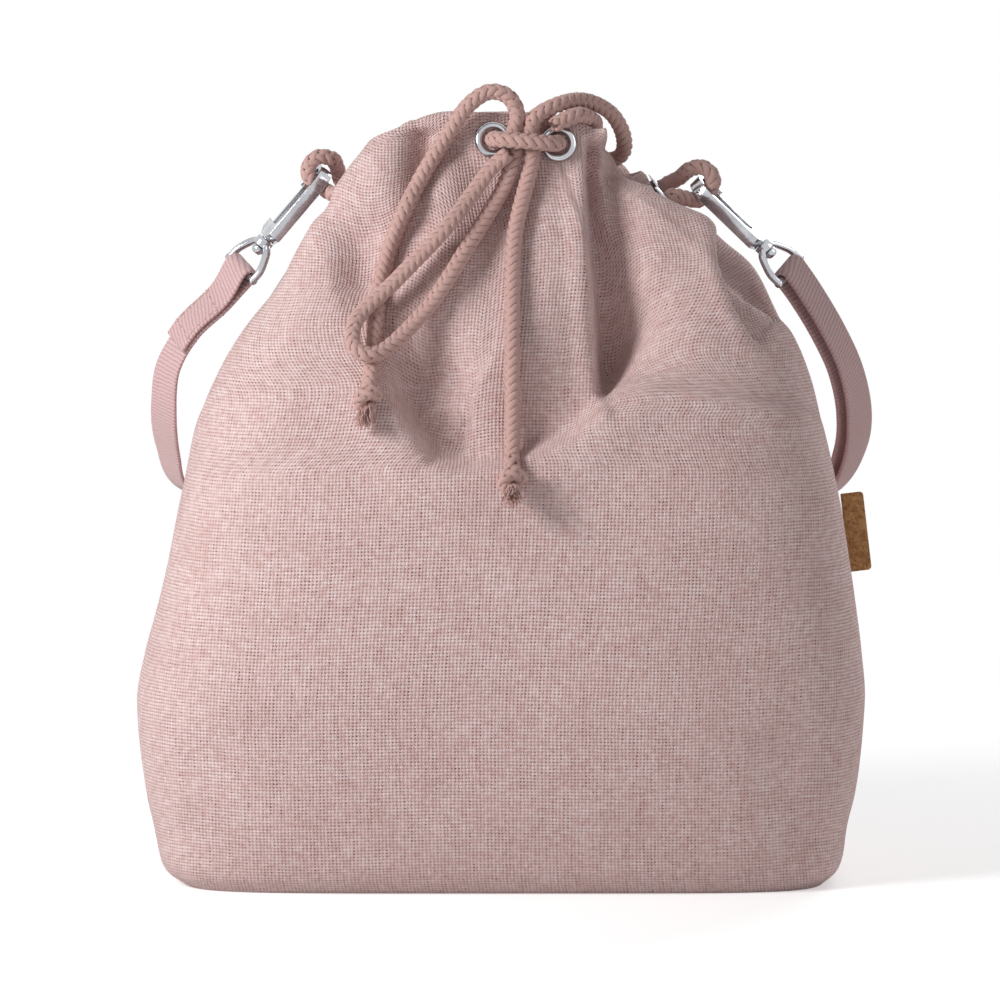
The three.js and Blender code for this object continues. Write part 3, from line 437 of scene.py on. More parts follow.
def linen_material(name, light, mid, dark, gap):
    shade = Shade(name, roughness=0.92)
    shade.bsdf.inputs["Sheen Weight"].default_value = 0.2
    shade.bsdf.inputs["Sheen Roughness"].default_value = 0.5
    shade.bsdf.inputs["Specular IOR Level"].default_value = 0.15
    place, height, hole, lines, thread = weave(shade, 0.00112, 0.00106, 0.8)
    blotch = shade.noise(place, 55.0, 3.0)
    colour = shade.mix(thread.between(0.36, 0.64), mid, light)
    colour = shade.mix(blotch.between(0.4, 0.75) * 0.25, colour, dark)
    colour = shade.mix(lines * 0.55, colour, dark)
    slub = shade.noise(place, 900.0, 1.0).between(0.62, 0.7)
    colour = shade.mix(slub * 0.25, colour, light)
    colour = shade.mix(hole, colour, gap)
    shade.set(Base_Color=colour)
    shade.set(Roughness=hole * 0.06 + 0.88)
    shade.bump(height + thread * 0.5 - hole, 0.0004, 0.7)
    return shade.material


linen = linen_material("linen", tone(234, 212, 210), tone(217, 183, 179), tone(190, 148, 144),
                       tone(112, 60, 57))
# The lining is the linen in darker brown tones: painted shade for the inside of the bag.
shaded_lining_cloth = linen_material("lining cloth with painted shade", tone(150, 118, 106), tone(128, 98, 88), tone(112, 82, 74),
                              tone(70, 48, 42))
print("linen ready")

# %% [markdown]
# The drawcord is a round cotton braid, the strap a ribbed webbing, the fittings bright plated metal
# and the label a slice of pressed cork. Each finish gets its own small variations: fibres along the
# strands, ribs across the strap, fine scratches on the metal and dark specks between the cork grains.

# %% Other finishes
def cord_material(name, light, dark, groove_shade):
    shade = Shade(name, roughness=0.85)
    shade.bsdf.inputs["Sheen Weight"].default_value = 0.2
    shade.bsdf.inputs["Specular IOR Level"].default_value = 0.2
    along, across, _ = shade.split(shade.place("UV"))
    fibre = shade.noise(shade.join(along * 0.12, across), 9000.0, 2.0)
    drift = shade.noise(shade.place(), 120.0, 2.0)
    colour = shade.mix(fibre.between(0.3, 0.7), dark, light)
    colour = shade.mix(drift.between(0.4, 0.8) * 0.3, colour, dark)
    # Painted shade: the edges of each strand are darkened towards the groove colour, where the strands meet.
    edge = (across.size() * 1000.0).between(0.8, 1.0)
    shade.set(Base_Color=shade.mix(edge * 0.6, colour, groove_shade))
    shade.bump(fibre, 0.0002, 0.5)
    return shade.material


def webbing_material():
    shade = Shade("webbing", roughness=0.9)
    shade.bsdf.inputs["Sheen Weight"].default_value = 0.2
    shade.bsdf.inputs["Specular IOR Level"].default_value = 0.2
    along, across, _ = shade.split(shade.place("UV"))
    wobble = shade.noise(shade.join(along * 0.3, across), 420.0, 2.0)
    ribs = along / 0.0014 + across / 0.0052 + (wobble - 0.5) * 0.7
    rib = (ribs.fract() * math.pi).sin()
    cords = ((across / 0.0009 + (wobble - 0.5) * 0.6).fract() * math.pi).sin()
    yarn = shade.noise(shade.join(along, across * 0.4), 1500.0, 2.0)
    colour = shade.mix(rib.between(0.1, 0.9), tone(184, 149, 149), tone(207, 175, 175))
    colour = shade.mix(yarn.between(0.35, 0.75) * 0.3, colour, tone(188, 154, 154))
    shade.set(Base_Color=colour)
    shade.bump(rib + cords * 0.3 + yarn * 0.15, 0.00022, 0.6)
    return shade.material


def chrome_material():
    shade = Shade("plated metal", roughness=0.16, metallic=1.0)
    place = shade.place()
    smear = shade.noise(place, 160.0, 3.0)
    x, y, z = shade.split(place)
    scratch = shade.noise(shade.join(x * 0.05, y, z * 0.4), 5200.0, 2.0).between(0.55, 0.75)
    shade.set(Base_Color=shade.mix(smear.between(0.3, 0.7), tone(176, 178, 184), tone(204, 206, 210)))
    shade.set(Roughness=smear * 0.1 + scratch * 0.12 + 0.08)
    shade.bump(scratch, 0.00004, 0.3)
    return shade.material


def cork_material():
    shade = Shade("pressed cork", roughness=0.85)
    place = shade.place()
    grain = shade.node("ShaderNodeTexVoronoi", {"Scale": 900.0}, out=1, Vector=place)
    red, green, _ = shade.split(grain)
    speck = shade.noise(place, 1500.0, 2.0).between(0.6, 0.68)
    colour = shade.mix(red, tone(158, 108, 62), tone(200, 152, 100))
    colour = shade.mix(green.between(0.7, 1.0) * 0.5, colour, tone(122, 78, 44))
    colour = shade.mix(speck * 0.75, colour, tone(72, 44, 26))
    shade.set(Base_Color=colour)
    shade.bump(red * 0.6 - speck, 0.0002, 0.7)
    return shade.material


def thread_material(name, light, dark):
    shade = Shade(name, roughness=0.7)
    twist = shade.noise(shade.place(), 4200.0, 2.0)
    shade.set(Base_Color=shade.mix(twist.between(0.35, 0.65), dark, light))
    shade.bump(twist, 0.0001, 0.5)
    return shade.material


braid_cotton = cord_material("braided cotton", tone(206, 170, 163), tone(188, 151, 144), tone(122, 88, 82))
# The core is a darker copy of the cotton: painted shade in the gaps between the strands.
shaded_cord_core = cord_material("shaded cord core", tone(120, 88, 80), tone(100, 72, 66), tone(80, 56, 52))
webbing = webbing_material()
plated = chrome_material()
cork = cork_material()
thread = thread_material("sewing thread", tone(214, 180, 174), tone(180, 142, 136))
print("finishes ready: cotton, webbing, metal, cork, thread")

# %% [markdown]
# The folds are drawn straight from the photograph. Each one is a line of pixels with a profile across
# it: a valley, a ridge, or a drop where the cloth tucks under itself on one side. The cloth is pushed
# along its own surface normal by the sum of these profiles, held flat at each eyelet, where two metal
# rings clamp it, and left where it is at the side seams, so that front and back meet.

# %% Fold profiles
def ease(t):
    t = np.clip(t, 0, 1)
    return t * t * (3 - 2 * t)


def line_offset(x, z, line):
    best = np.full(x.shape, 1e9)
    side = np.zeros(x.shape)
    along = np.zeros(x.shape)
    walked = 0.0
    for (x0, z0), (x1, z1) in zip(line[:-1], line[1:]):
        dx, dz = x1 - x0, z1 - z0
        length = math.hypot(dx, dz)
        t = np.clip(((x - x0) * dx + (z - z0) * dz) / length ** 2, 0, 1)
        ox, oz = x - x0 - t * dx, z - z0 - t * dz
        distance = np.hypot(ox, oz)
        nearer = distance < best
        turn = np.sign(dx * (z - z0) - dz * (x - x0))
        best = np.where(nearer, distance, best)
        side = np.where(nearer, turn, side)
        along = np.where(nearer, walked + t * length, along)
        walked += length
    return best * side, along, walked


def fold(x, z, pixels, kind, depth, width, reach=30.0, fades=(10.0, 20.0), lip=0.0):
    line = [from_pixel(*p) for p in pixels]
    offset, along, length = line_offset(x, z, line)
    strength = ease(along / fades[0]) * ease((length - along) / fades[1])
    if kind == "valley":
        return -depth * strength * np.exp(-(offset / width) ** 2)
    if kind == "drop left":
        offset = -offset
    fall = ease(offset / width) * (1 - ease((offset - width) / reach))
    crest = np.exp(-((offset + 0.6 * width) / (0.9 * width)) ** 2)
    return strength * (lip * crest - depth * fall)


def ripples(x, z, seed, waves, low, high):
    rng = np.random.default_rng(seed)
    total = np.zeros(x.shape)
    for _ in range(waves):
        angle, phase = rng.uniform(0, 2 * np.pi, 2)
        length = rng.uniform(low, high)
        total += np.sin(2 * np.pi * (x * np.cos(angle) + z * np.sin(angle)) / length + phase)
    return total / math.sqrt(waves)


print("fold profiles ready")

# %% [markdown]
# The front folds follow the photograph. The back can't be seen there, so its folds are a plain guess.
# Lobes are the soft bulges beside the side eyelets, and the gusset is the tuck at each side seam.

# %% Folds of the front and the back
FRONT_FOLDS = [
    dict(pixels=[(581, 135), (581, 178), (584, 246), (590, 320), (593, 380), (600, 400), (606, 430)],
         kind="drop right", depth=9.5, width=3.6, reach=36.0, fades=(4.0, 30.0), lip=1.6),
    dict(pixels=[(581, 150), (584, 246), (590, 320), (593, 380), (600, 400), (606, 430)], kind="drop right",
         depth=6.0, width=5.0, reach=32.0, fades=(8.0, 30.0)),
    dict(pixels=[(316, 205), (319, 240), (328, 290), (348, 345)], kind="drop right", depth=6.5, width=11.0,
         reach=30.0, fades=(10.0, 24.0), lip=0.6),
    dict(pixels=[(346, 325), (376, 398), (412, 452), (456, 474), (500, 472)], kind="drop right", depth=5.5,
         width=18.0, reach=26.0, fades=(14.0, 18.0)),
    dict(pixels=[(424, 128), (424, 155), (412, 190), (396, 230)], kind="valley", depth=5.0, width=4.6,
         fades=(2.0, 26.0)),
    dict(pixels=[(366, 345), (396, 415), (428, 462), (470, 470), (520, 462), (575, 440), (610, 405),
                 (645, 345), (690, 280)],
         kind="drop right", depth=8.5, width=8.5, reach=28.0, fades=(20.0, 28.0), lip=1.5),
    dict(pixels=[(655, 170), (683, 203), (703, 240), (715, 273), (730, 310), (750, 343), (770, 362)],
         kind="drop right", depth=11.0, width=3.2, reach=32.0, fades=(8.0, 26.0), lip=1.6),
    dict(pixels=[(602, 128), (606, 160), (611, 205), (620, 262)], kind="valley", depth=-2.4, width=2.6,
         fades=(2.0, 24.0)),
    dict(pixels=[(641, 165), (650, 220), (648, 285), (640, 330)], kind="valley", depth=-3.0, width=7.0,
         fades=(8.0, 24.0)),
    dict(pixels=[(500, 160), (497, 220), (492, 300), (488, 380)], kind="valley", depth=1.6, width=9.0,
         fades=(10.0, 36.0)),
    dict(pixels=[(450, 150), (446, 215), (438, 285)], kind="valley", depth=-1.4, width=7.0,
         fades=(6.0, 30.0)),
    dict(pixels=[(752, 690), (790, 770), (832, 868)], kind="valley", depth=2.6, width=13.0,
         fades=(26.0, 12.0)),
    dict(pixels=[(232, 690), (205, 780), (180, 868)], kind="valley", depth=1.8, width=14.0,
         fades=(26.0, 12.0)),
]
BACK_FOLDS = [
    dict(pixels=[(459, 132), (452, 210), (440, 300), (418, 400)], kind="drop left", depth=6.5, width=5.0,
         reach=32.0, fades=(4.0, 34.0), lip=1.4),
    dict(pixels=[(566, 132), (580, 200), (592, 300), (606, 410)], kind="drop right", depth=7.5, width=5.5,
         reach=32.0, fades=(4.0, 34.0), lip=1.4),
    dict(pixels=[(510, 135), (508, 210), (512, 300)], kind="valley", depth=3.4, width=9.0, fades=(4.0, 36.0)),
    dict(pixels=[(372, 330), (420, 430), (510, 468), (600, 440), (668, 330)], kind="drop right", depth=5.0,
         width=13.0, reach=36.0, fades=(26.0, 26.0), lip=1.6),
]
LOBES = [
    dict(flank=-1, y=-20, z=217, out=8.0, wide=9, high=17),
    dict(flank=1, y=-20, z=211, out=7.5, wide=9, high=16),
    dict(flank=-1, y=20, z=206, out=3.5, wide=10, high=16),
    dict(flank=1, y=20, z=206, out=6.0, wide=10, high=18),
]
EYELETS = {
    "front_left": face_spot(-2.2, 233.4, -1), "front_right": face_spot(18.1, 232.2, -1),
    "back_left": face_spot(-13.0, 233.0, 1), "back_right": face_spot(17.0, 233.0, 1),
    "left_side_front": flank_spot(-7.5, 213.5, -1), "left_side_back": flank_spot(7.5, 216.5, -1),
    "right_side_front": flank_spot(-7.5, 213.2, 1), "right_side_back": flank_spot(7.5, 216.5, 1),
}
SEAM_FLAT = 14.0
GUSSET_DEPTH, GUSSET_FROM, GUSSET_RISE, GUSSET_WIDE = 8.0, 140.0, 45.0, 11.0
LOBE_FROM, LOBE_RISE = 16.0, 16.0
GATHER_SIZE, GATHER_FROM, GATHER_RISE = 0.55, 150.0, 80.0
SLACK_SIZE, SLACK_FROM, SLACK_RISE = 0.5, 6.0, 30.0
EYELET_FLAT, EYELET_EASE = 6.5, 4.5
EYELET_NORMALS = {name: bag_normal(spot) for name, spot in EYELETS.items()}


def push(points, side):
    x, y, z = points[..., 0], points[..., 1], points[..., 2]
    total = np.zeros(x.shape)
    for spec in FRONT_FOLDS if side < 0 else BACK_FOLDS:
        total += fold(x, z, **spec)
    off_seam = ease(np.abs(y) / SEAM_FLAT)
    total *= off_seam
    gusset = ease((z - GUSSET_FROM) / GUSSET_RISE) * np.exp(-(y / GUSSET_WIDE) ** 2)
    total -= GUSSET_DEPTH * gusset
    for lobe in LOBES:
        near = np.exp(-((y - lobe["y"]) / lobe["wide"]) ** 2 - ((z - lobe["z"]) / lobe["high"]) ** 2)
        total += lobe["out"] * near * ease((lobe["flank"] * x - LOBE_FROM) / LOBE_RISE)
    gather = ease((z - GATHER_FROM) / GATHER_RISE)
    total += GATHER_SIZE * gather * off_seam * ripples(x * 1.6, z * 0.35, 5 + side, 7, 16, 34)
    slack = ease((z - SLACK_FROM) / SLACK_RISE)
    total += SLACK_SIZE * slack * off_seam * ripples(x, z, 11 + side, 8, 45, 110)
    for spot in EYELETS.values():
        away = np.linalg.norm(points - spot, axis=-1)
        total *= ease((away - EYELET_FLAT) / EYELET_EASE)
    return total


print("folds:", len(FRONT_FOLDS), "in front,", len(BACK_FOLDS), "behind")

# %% [markdown]
# Each panel is one sheet: a grid that follows the levels, folded at the top over a thin roll and
# turned inside as a facing. The two panels meet in a seam at each side. A grid is used because its
# rows and columns are the threads, so the weave can be measured along them.

# %% Panels of the bag
ROWS, COLUMNS = 210, 232
FACING_ROWS = 30
HEM_ROLL = 1.0


def half_ring(z_drawn, side, count):
    start = -np.pi if side < 0 else 0.0
    angle = start + np.pi * (1 - np.cos(np.linspace(0, np.pi, 1441))) / 2
    line = ring(angle, z_drawn * rim_height(angle) / RIM)
    walked = np.concatenate([[0], np.cumsum(np.linalg.norm(np.diff(line, axis=0), axis=1))])
    at = np.linspace(0, walked[-1], count)
    return np.stack([np.interp(at, walked, line[:, k]) for k in range(3)], axis=1)


def grid_normals(grid):
    across = np.gradient(grid, axis=1)
    upward = np.gradient(grid, axis=0)
    return unit(np.cross(across, upward))


def cloth_lengths(grid):
    across = np.linalg.norm(np.diff(grid, axis=1), axis=-1)
    u = np.concatenate([np.zeros((len(grid), 1)), np.cumsum(across, axis=1)], axis=1)
    u -= u[:, u.shape[1] // 2][:, None]
    upward = np.linalg.norm(np.diff(grid, axis=0), axis=-1)
    v = np.concatenate([np.zeros((1, grid.shape[1])), np.cumsum(upward, axis=0)], axis=0)
    return np.stack([u, v], axis=-1)


def cloth_panel(side):
    drawn = RIM * np.linspace(0, 1, ROWS)
    plain = np.array([half_ring(z, side, COLUMNS) for z in drawn])
    outward = grid_normals(plain)
    outward[:, [0, -1], 1] = 0
    outer = plain + unit(outward) * push(plain, side)[..., None]
    normal = grid_normals(outer)
    rise = unit(outer[-1] - outer[-3])
    roll = []
    for a in np.linspace(0, np.pi, 7)[1:]:
        roll.append(outer[-1] + HEM_ROLL * (normal[-1] * (np.cos(a) - 1) + rise * np.sin(a)))
    inside = outer - 2 * HEM_ROLL * normal
    facing = [inside[-1 - k] for k in range(1, FACING_ROWS)]
    return outer, normal, np.concatenate([outer, np.array(roll), np.array(facing)])


panels = {}
for side, name in ((-1, "front"), (1, "back")):
    outer, normal, sheet = cloth_panel(side)
    uv = cloth_lengths(sheet)
    made = make_object(name + "_cloth", sheet.reshape(-1, 3), grid_faces(*sheet.shape[:2]), uv.reshape(-1, 2))
    panels[name] = dict(outer=outer, normal=normal, piece=made)
    finish_piece(made, "bag", "linen", linen, name + "_panel")
    area = sum(p.area for p in made.data.polygons) * 1e4
    print(made.name, len(made.data.polygons), "faces,", round(area), "square centimetres")

# %% [markdown]
# Inside, a plain lining reaches up to the facing, and a flat base closes the foot. Both are drawn from the
# same folded grid, a little further in, so no fold of the outer cloth can come through them. The lining cloth
# is a darker brown copy of the linen: painted shade for the inside of the bag.

# %% Lining and base
LINING_IN = 2.7
LINING_ROWS = 188


def lining_panel(name):
    outer, normal = panels[name]["outer"], panels[name]["normal"]
    grid = (outer - LINING_IN * normal)[3:LINING_ROWS]
    return grid[:, ::-1]


def base_plate(z, inset, sag, rings=26, around=220):
    edge_angle = np.linspace(0, 2 * np.pi, around, endpoint=False)
    edge = ring(edge_angle, np.full(around, z), inset)
    middle = edge.mean(axis=0)
    shares = np.linspace(0.02, 1, rings)[:, None, None]
    grid = middle + (edge - middle) * shares
    grid[..., 2] = z - sag * (1 - shares[..., 0] ** 4)
    return grid


for name in ("front", "back"):
    grid = lining_panel(name)
    made = make_object(name + "_lining_cloth", grid.reshape(-1, 3), grid_faces(*grid.shape[:2]),
                       cloth_lengths(grid).reshape(-1, 2))
    finish_piece(made, "bag", "lining", shaded_lining_cloth, name + "_lining")
for name, z, inset, sag, slot_name, cloth in (("base", 1.0, 1.2, 0.6, "linen", linen),
                                              ("base_lining", 3.2, 4.0, -0.3, "lining", shaded_lining_cloth)):
    plate = base_plate(z, inset, sag)
    if name == "base":
        plate = plate[:, ::-1]
    parts = Parts()
    parts.add(plate, caps=False, uv=plate[..., :2])
    parts.faces.append(tuple(range(plate.shape[1]))[::-1])
    made = parts.object(name + "_cloth")
    finish_piece(made, "bag", slot_name, cloth, "base_panel" if name == "base" else "base_lining")
    print(made.name, "made")

# %% [markdown]
# The drawcord is an eight strand braid. Four strands wind one way and four the other, each passing
# over two and under two. A plain tube with a pattern would look flat where the cord bends, so every
# strand is a real surface, swept along its own winding path round the route of the cord. The routes
# are those of the solids.

# %% Braid
CORD_R = 2.5
LAY_LENGTH = 10.8
STRAND_CENTRE, STRAND_WAVE = 1.88, 0.2
STRAND_HALF_WIDE, STRAND_HALF_THICK = 1.08, 0.56
CORE_R = 2.02
CORD_STEP = 0.85


def braid(parts, core, route, at, thin=1.0):
    tangent, side, up = frames_along(route)
    turn = np.linspace(0, 2 * np.pi, 8, endpoint=False)
    swing = 2 * np.pi * at / LAY_LENGTH
    for k in range(8):
        way, start = (1, k // 2) if k % 2 == 0 else (-1, k // 2)
        angle = way * swing + start * np.pi / 2
        if way > 0:
            wave = np.cos(2 * swing + np.pi * start - np.pi / 4)
        else:
            wave = -np.cos(2 * swing - np.pi * start + np.pi / 4)
        out = side * np.cos(angle)[:, None] + up * np.sin(angle)[:, None]
        line = route + out * (thin * (STRAND_CENTRE + STRAND_WAVE * wave))[:, None]
        ahead = unit(np.gradient(line, axis=0))
        wide = unit(np.cross(ahead, out))
        thick = np.cross(wide, ahead)
        section_wide = thin * STRAND_HALF_WIDE * np.cos(turn)
        section_thick = thin * STRAND_HALF_THICK * np.sin(turn)
        grid = line[:, None] + wide[:, None] * section_wide[None, :, None]
        grid = grid + thick[:, None] * section_thick[None, :, None]
        uv = np.stack([np.broadcast_to(at[:, None], grid.shape[:2]),
                       np.broadcast_to(np.cos(turn)[None], grid.shape[:2])], axis=-1)
        parts.add(grid, uv=uv)
    core.add(tube_points(route, thin * CORE_R, 10))


def through(name, along):
    return EYELETS[name] + along * EYELET_NORMALS[name]


def inside_mouth(degrees, z, further=0.0):
    return ring(np.array(math.radians(degrees)), np.array(float(z)), CLOTH + 6.6 + further)


def on_front(x, z, lift):
    spot = face_spot(x, z, -1)
    return spot + bag_normal(spot) * (CORD_R + lift)


def hook_frame(seat, down, outward, turn=0.26):
    a = np.array(down) / np.linalg.norm(down)
    out = np.array(outward) - np.dot(outward, a) * a
    out = out / np.linalg.norm(out)
    g = np.array([0, math.cos(turn), 0]) + math.sin(turn) * out
    g = g / np.linalg.norm(g)
    return dict(seat=np.array(seat), a=a, g=g, n=np.cross(a, g))


HOOKS = {
    "left": hook_frame((-58.1, -2, 219.6), (-0.65, 0, -0.76), (-0.76, 0, 0.65)),
    "right": hook_frame((65.2, -2, 216.5), (0.72, 0, -0.69), (0.69, 0, 0.72)),
}


def in_hook(name, s, g, n):
    h = HOOKS[name]
    return h["seat"] + s * h["a"] + g * h["g"] + n * h["n"]


def side_loop(name, turn, enter, top):
    front, back = name + "_side_front", name + "_side_back"
    return [through(front, -0.85), through(front, 0.8), through(front, 3.4),
            in_hook(name, enter, -3.6, 5 * turn), in_hook(name, 0, 0, 3.4 * turn),
            in_hook(name, 0, 0, 0), in_hook(name, 0, 0, -3.2 * turn),
            in_hook(name, -2.6, 0.2, -5.4 * turn), in_hook(name, -6.6, 0.8, -4.8 * turn),
            in_hook(name, -8.8, 2, -1 * turn), top,
            through(back, 4.6), through(back, 1), through(back, -0.85)]


BEHIND_BAND = -30.4
HIGH_LIFT = 5.6
ROUTES = {
    "drawcord_front_run": [
        through("left_side_front", -0.85), through("left_side_front", -6), inside_mouth(-140, 222),
        inside_mouth(-112, 230), through("front_left", -6), through("front_left", 1.4), (-0.4, -33.4, 233.6),
        (8, -36.2, 233.2), (16.3, -33.4, 232.4), through("front_right", 1.4), through("front_right", -6),
        inside_mouth(-52, 226, 5), inside_mouth(-36, 219, 5), through("right_side_front", -6),
        through("right_side_front", -0.85)],
    "drawcord_back_run": [
        through("left_side_back", -0.85), through("left_side_back", -6), inside_mouth(140, 223, 1.5),
        through("back_left", -6), through("back_left", 1.8), (-9.6, 33.2, 233.4), (2, 34.5, 233.4),
        (13.6, 33.2, 233.4), through("back_right", 1.8), through("back_right", -6), inside_mouth(42, 223, 5),
        through("right_side_back", -6), through("right_side_back", -0.85)],
    "left_side_loop": side_loop("left", 1, -0.6, (-52, 4.8, 225)),
    "right_side_loop": side_loop("right", -1, -3.5, (57, 4.8, 221)),
    "bow_left_loop": [
        (2.4, -34.4, 229.3), (-2.4, -34, 225), on_front(-15.6, 205.6, 3.4), on_front(-31, 188, HIGH_LIFT),
        on_front(-43.6, 174.5, HIGH_LIFT), on_front(-43.6, 167, HIGH_LIFT), on_front(-38, 165.2, HIGH_LIFT),
        on_front(-23, 180, 1), on_front(-9, 201, 1), on_front(1.6, 219, 0.6), (5.2, BEHIND_BAND, 232.4)],
    "bow_right_loop": [
        (9.6, BEHIND_BAND, 235.2), (10.6, -30.8, 240), (17.5, -28, 244.2), (26.6, -19.5, 245.6),
        (34.6, -12.6, 241.8), (38.6, -6.8, 235.6), (39.2, -1, 230), (37.8, 1.6, 227.8), (34.4, 2.6, 226.8),
        (31, 1.6, 227.8), (29.6, -1, 230), (29.4, -6.6, 234.4), (29.8, -13.2, 238), (28.4, -21, 240),
        (24, -27.4, 241.2), (16.6, -31.4, 238)],
    "left_tail": [
        (4.2, BEHIND_BAND, 235.2), (5.4, -30.6, 241.5), (2.6, -31, 246.8), (-3, -31, 248.4),
        (-9.4, -30.8, 244.6), on_front(-16.4, 234, 0.8), on_front(-23.5, 222, 0.6),
        on_front(-31.2, 206, 0.6), on_front(-36.4, 190, 0.3), on_front(-38, 178, 0.3),
        on_front(-38.6, 170, 0.3), on_front(-40, 156, 0.6)],
    "right_tail": [
        (10.7, BEHIND_BAND, 232.4), on_front(9.2, 223, 0.9), on_front(4.6, 203, 0.6), on_front(3.8, 176, 0.6),
        on_front(3.8, 150, 0.6), on_front(3.6, 131, 0.6)],
}
print("cord routes:", len(ROUTES))

# %% [markdown]
# The routes were drawn over the plain form of the bag. A ray from the front finds how far the folded
# cloth lies from it, and the cord is moved by that much, smoothed along its length.

# %% Settling the cord on the cloth
front_cloth = panels["front"]["piece"]
cloth_tree = BVHTree.FromPolygons([v.co[:] for v in front_cloth.data.vertices],
                                  [p.vertices[:] for p in front_cloth.data.polygons])
RAY_START = -0.2
FRONT_Y, BELOW_BAND = -20.0, 236.0
SETTLE_REACH, LYING_BELOW, LYING_EASE = 9.0, 228.0, 14.0


def cloth_shift(point):
    hit = cloth_tree.ray_cast(Vector((point[0] * MM, RAY_START, point[2] * MM)), Vector((0, 1, 0)))
    plain = face_spot(point[0], point[2], -1)[1]
    return hit[0].y / MM - plain if hit[0] is not None else 0.0


def settle(route, at):
    shift = np.array([cloth_shift(p) if p[1] < FRONT_Y and p[2] < BELOW_BAND else 0.0
                      for p in route])
    reach = np.exp(-((at[:, None] - at[None]) / SETTLE_REACH) ** 2)
    even = (reach * shift).sum(axis=1) / reach.sum(axis=1)
    lying = ease((LYING_BELOW - route[:, 2]) / LYING_EASE)
    moved = route.copy()
    moved[:, 1] += lying * np.minimum(even, shift)
    return moved


ON_CLOTH = ("bow_left_loop", "left_tail", "right_tail")
settled = {}
for name, points in ROUTES.items():
    route, at = smooth_route([np.asarray(p, float) for p in points], CORD_STEP)
    settled[name] = (settle(route, at) if name in ON_CLOTH else route, at)
    print(name, round(at[-1]), "mm")

# %% [markdown]
# At each end of the cord is an overhand knot: one turn of the braid round itself, and below it a
# short tuft where the strands have come apart into fibres.

# %% Cords and knots
KNOT_TURNS, KNOT_R, KNOT_LENGTH = 1.45, 2.7, 8.0
KNOT_BACK, KNOT_FORWARD, KNOT_THIN = 2.0, 1.6, 0.92
TUFT_FIBRES, TUFT_LENGTH, TUFT_BACK, FIBRE_R = 90, 8.5, 1.2, 0.27
TUFT_SEEDS = {"left_tail": 3, "right_tail": 8}


def knot_route(end, way):
    u, v, n = basis(way, (0.0, 1.0, 0.0))
    t = np.linspace(0, 1, 60)
    swell = np.sin(np.pi * t) ** 0.6
    angle = 2 * np.pi * KNOT_TURNS * t
    forward = np.array([0, KNOT_FORWARD, 0])
    middle = end + n * (t * KNOT_LENGTH - KNOT_BACK)[:, None] - forward * swell[:, None]
    return middle + KNOT_R * swell[:, None] * (np.cos(angle)[:, None] * u + np.sin(angle)[:, None] * v)


def tuft(parts, end, way, seed):
    rng = np.random.default_rng(seed)
    u, v, n = basis(way, (0.0, 1.0, 0.0))
    for _ in range(TUFT_FIBRES):
        angle, spread = rng.uniform(0, 2 * np.pi), rng.uniform(0, 1) ** 0.5
        length = TUFT_LENGTH * rng.uniform(0.55, 1.0)
        t = np.linspace(0, 1, 7)
        out = np.cos(angle) * u + np.sin(angle) * v
        wave = 0.35 * np.sin(t * rng.uniform(3, 7) + rng.uniform(0, 6))
        flare = 1.5 * spread + 1.9 * spread * t ** 1.5
        curl = u * wave[:, None] + v * wave[::-1, None]
        line = end + n * (t * length)[:, None] + out * flare[:, None] + curl
        parts.add(tube_points(line, FIBRE_R * (1 - 0.5 * t), 5))


cord_pieces = {}
for name, (route, at) in settled.items():
    strands, core = Parts(), Parts()
    braid(strands, core, route, at)
    cord_piece, core_piece = strands.object(name + "_braid"), core.object(name + "_core")
    cord_pieces[name] = cord_piece
    for piece, finish in ((cord_piece, braid_cotton), (core_piece, shaded_cord_core)):
        piece.data.materials.append(finish)
        if name in ("left_side_loop", "right_side_loop"):
            far = HOOKS[name.split("_")[0]]["seat"]
            front_hole, back_hole = (through(name.replace("_loop", end), 0) for end in ("_front", "_back"))
            near = (front_hole + back_hole) / 2
            near * MM
            (near + 0.8 * (far - near)) * MM
            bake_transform(piece)
        else:
            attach(piece, "bag")
    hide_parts(name)
for tail in ("left_tail", "right_tail"):
    route, at = settled[tail]
    way = unit(route[-1] - route[-8])
    knot_line, knot_at = smooth_route(knot_route(route[-1], way), CORD_STEP)
    strands, core = Parts(), Parts()
    braid(strands, core, knot_line, knot_at, thin=KNOT_THIN)
    for part in core.points:
        strands.points.append(part)
    strands.faces += [tuple(i + strands.count for i in f) for f in core.faces]
    strands.uv += core.uv
    strands.count += core.count
    tuft(strands, knot_line[-1] - way * TUFT_BACK, way, TUFT_SEEDS[tail])
    knot = strands.object(tail + "_end_knot")
    finish_piece(knot, "bag", "cord", braid_cotton, tail + "_knot")
    cord_pieces[tail + "_knot"] = knot
print("cord pieces:", len(cord_pieces))

# %% [markdown]
# The length of each free end of the cord is measured along its path.

# %% Cord facts
for name in ("bow_left_loop", "bow_right_loop", "left_tail", "right_tail"):
    route, at = settled[name]
    walked = float(np.linalg.norm(np.diff(route, axis=0), axis=1).sum())
    loop = name.startswith("bow")
    extra = [bpy.data.objects[name + "_core"]]
    if not loop:
        extra.append(cord_pieces[name + "_knot"])
    (route[0] * MM).tolist()
    (route[::3] * MM).tolist() + [(route[-1] * MM).tolist()]
    print(name, "declared,", round(walked), "mm")

# %% [markdown]
# The eyelets are pressed from thin plated sheet: a rolled flange outside, a barrel through the cloth
# and a washer inside. They are turned from a profile with many sides, so the bright rim reads as one
# clean curve.

# %% Eyelets and washers
HOLE_R, BARREL_R, FLANGE_R, FLANGE_HIGH = 3.25, 3.65, 5.65, 1.0
LIP_R, LIP_HIGH, WASHER_HOLE_R, WASHER_R = 4.5, 0.5, 3.95, 5.3


def reach_along(node, spot, normal):
    points = np.array([v.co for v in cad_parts[node].data.vertices]) / MM
    heights = (points - spot) @ normal
    return heights.min(), heights.max()


def ring_piece(name, profile, spot, normal):
    grid = turned(profile + profile[:1], spot, normal, 56)
    parts = Parts()
    parts.add(grid, caps=False)
    return parts.object(name)


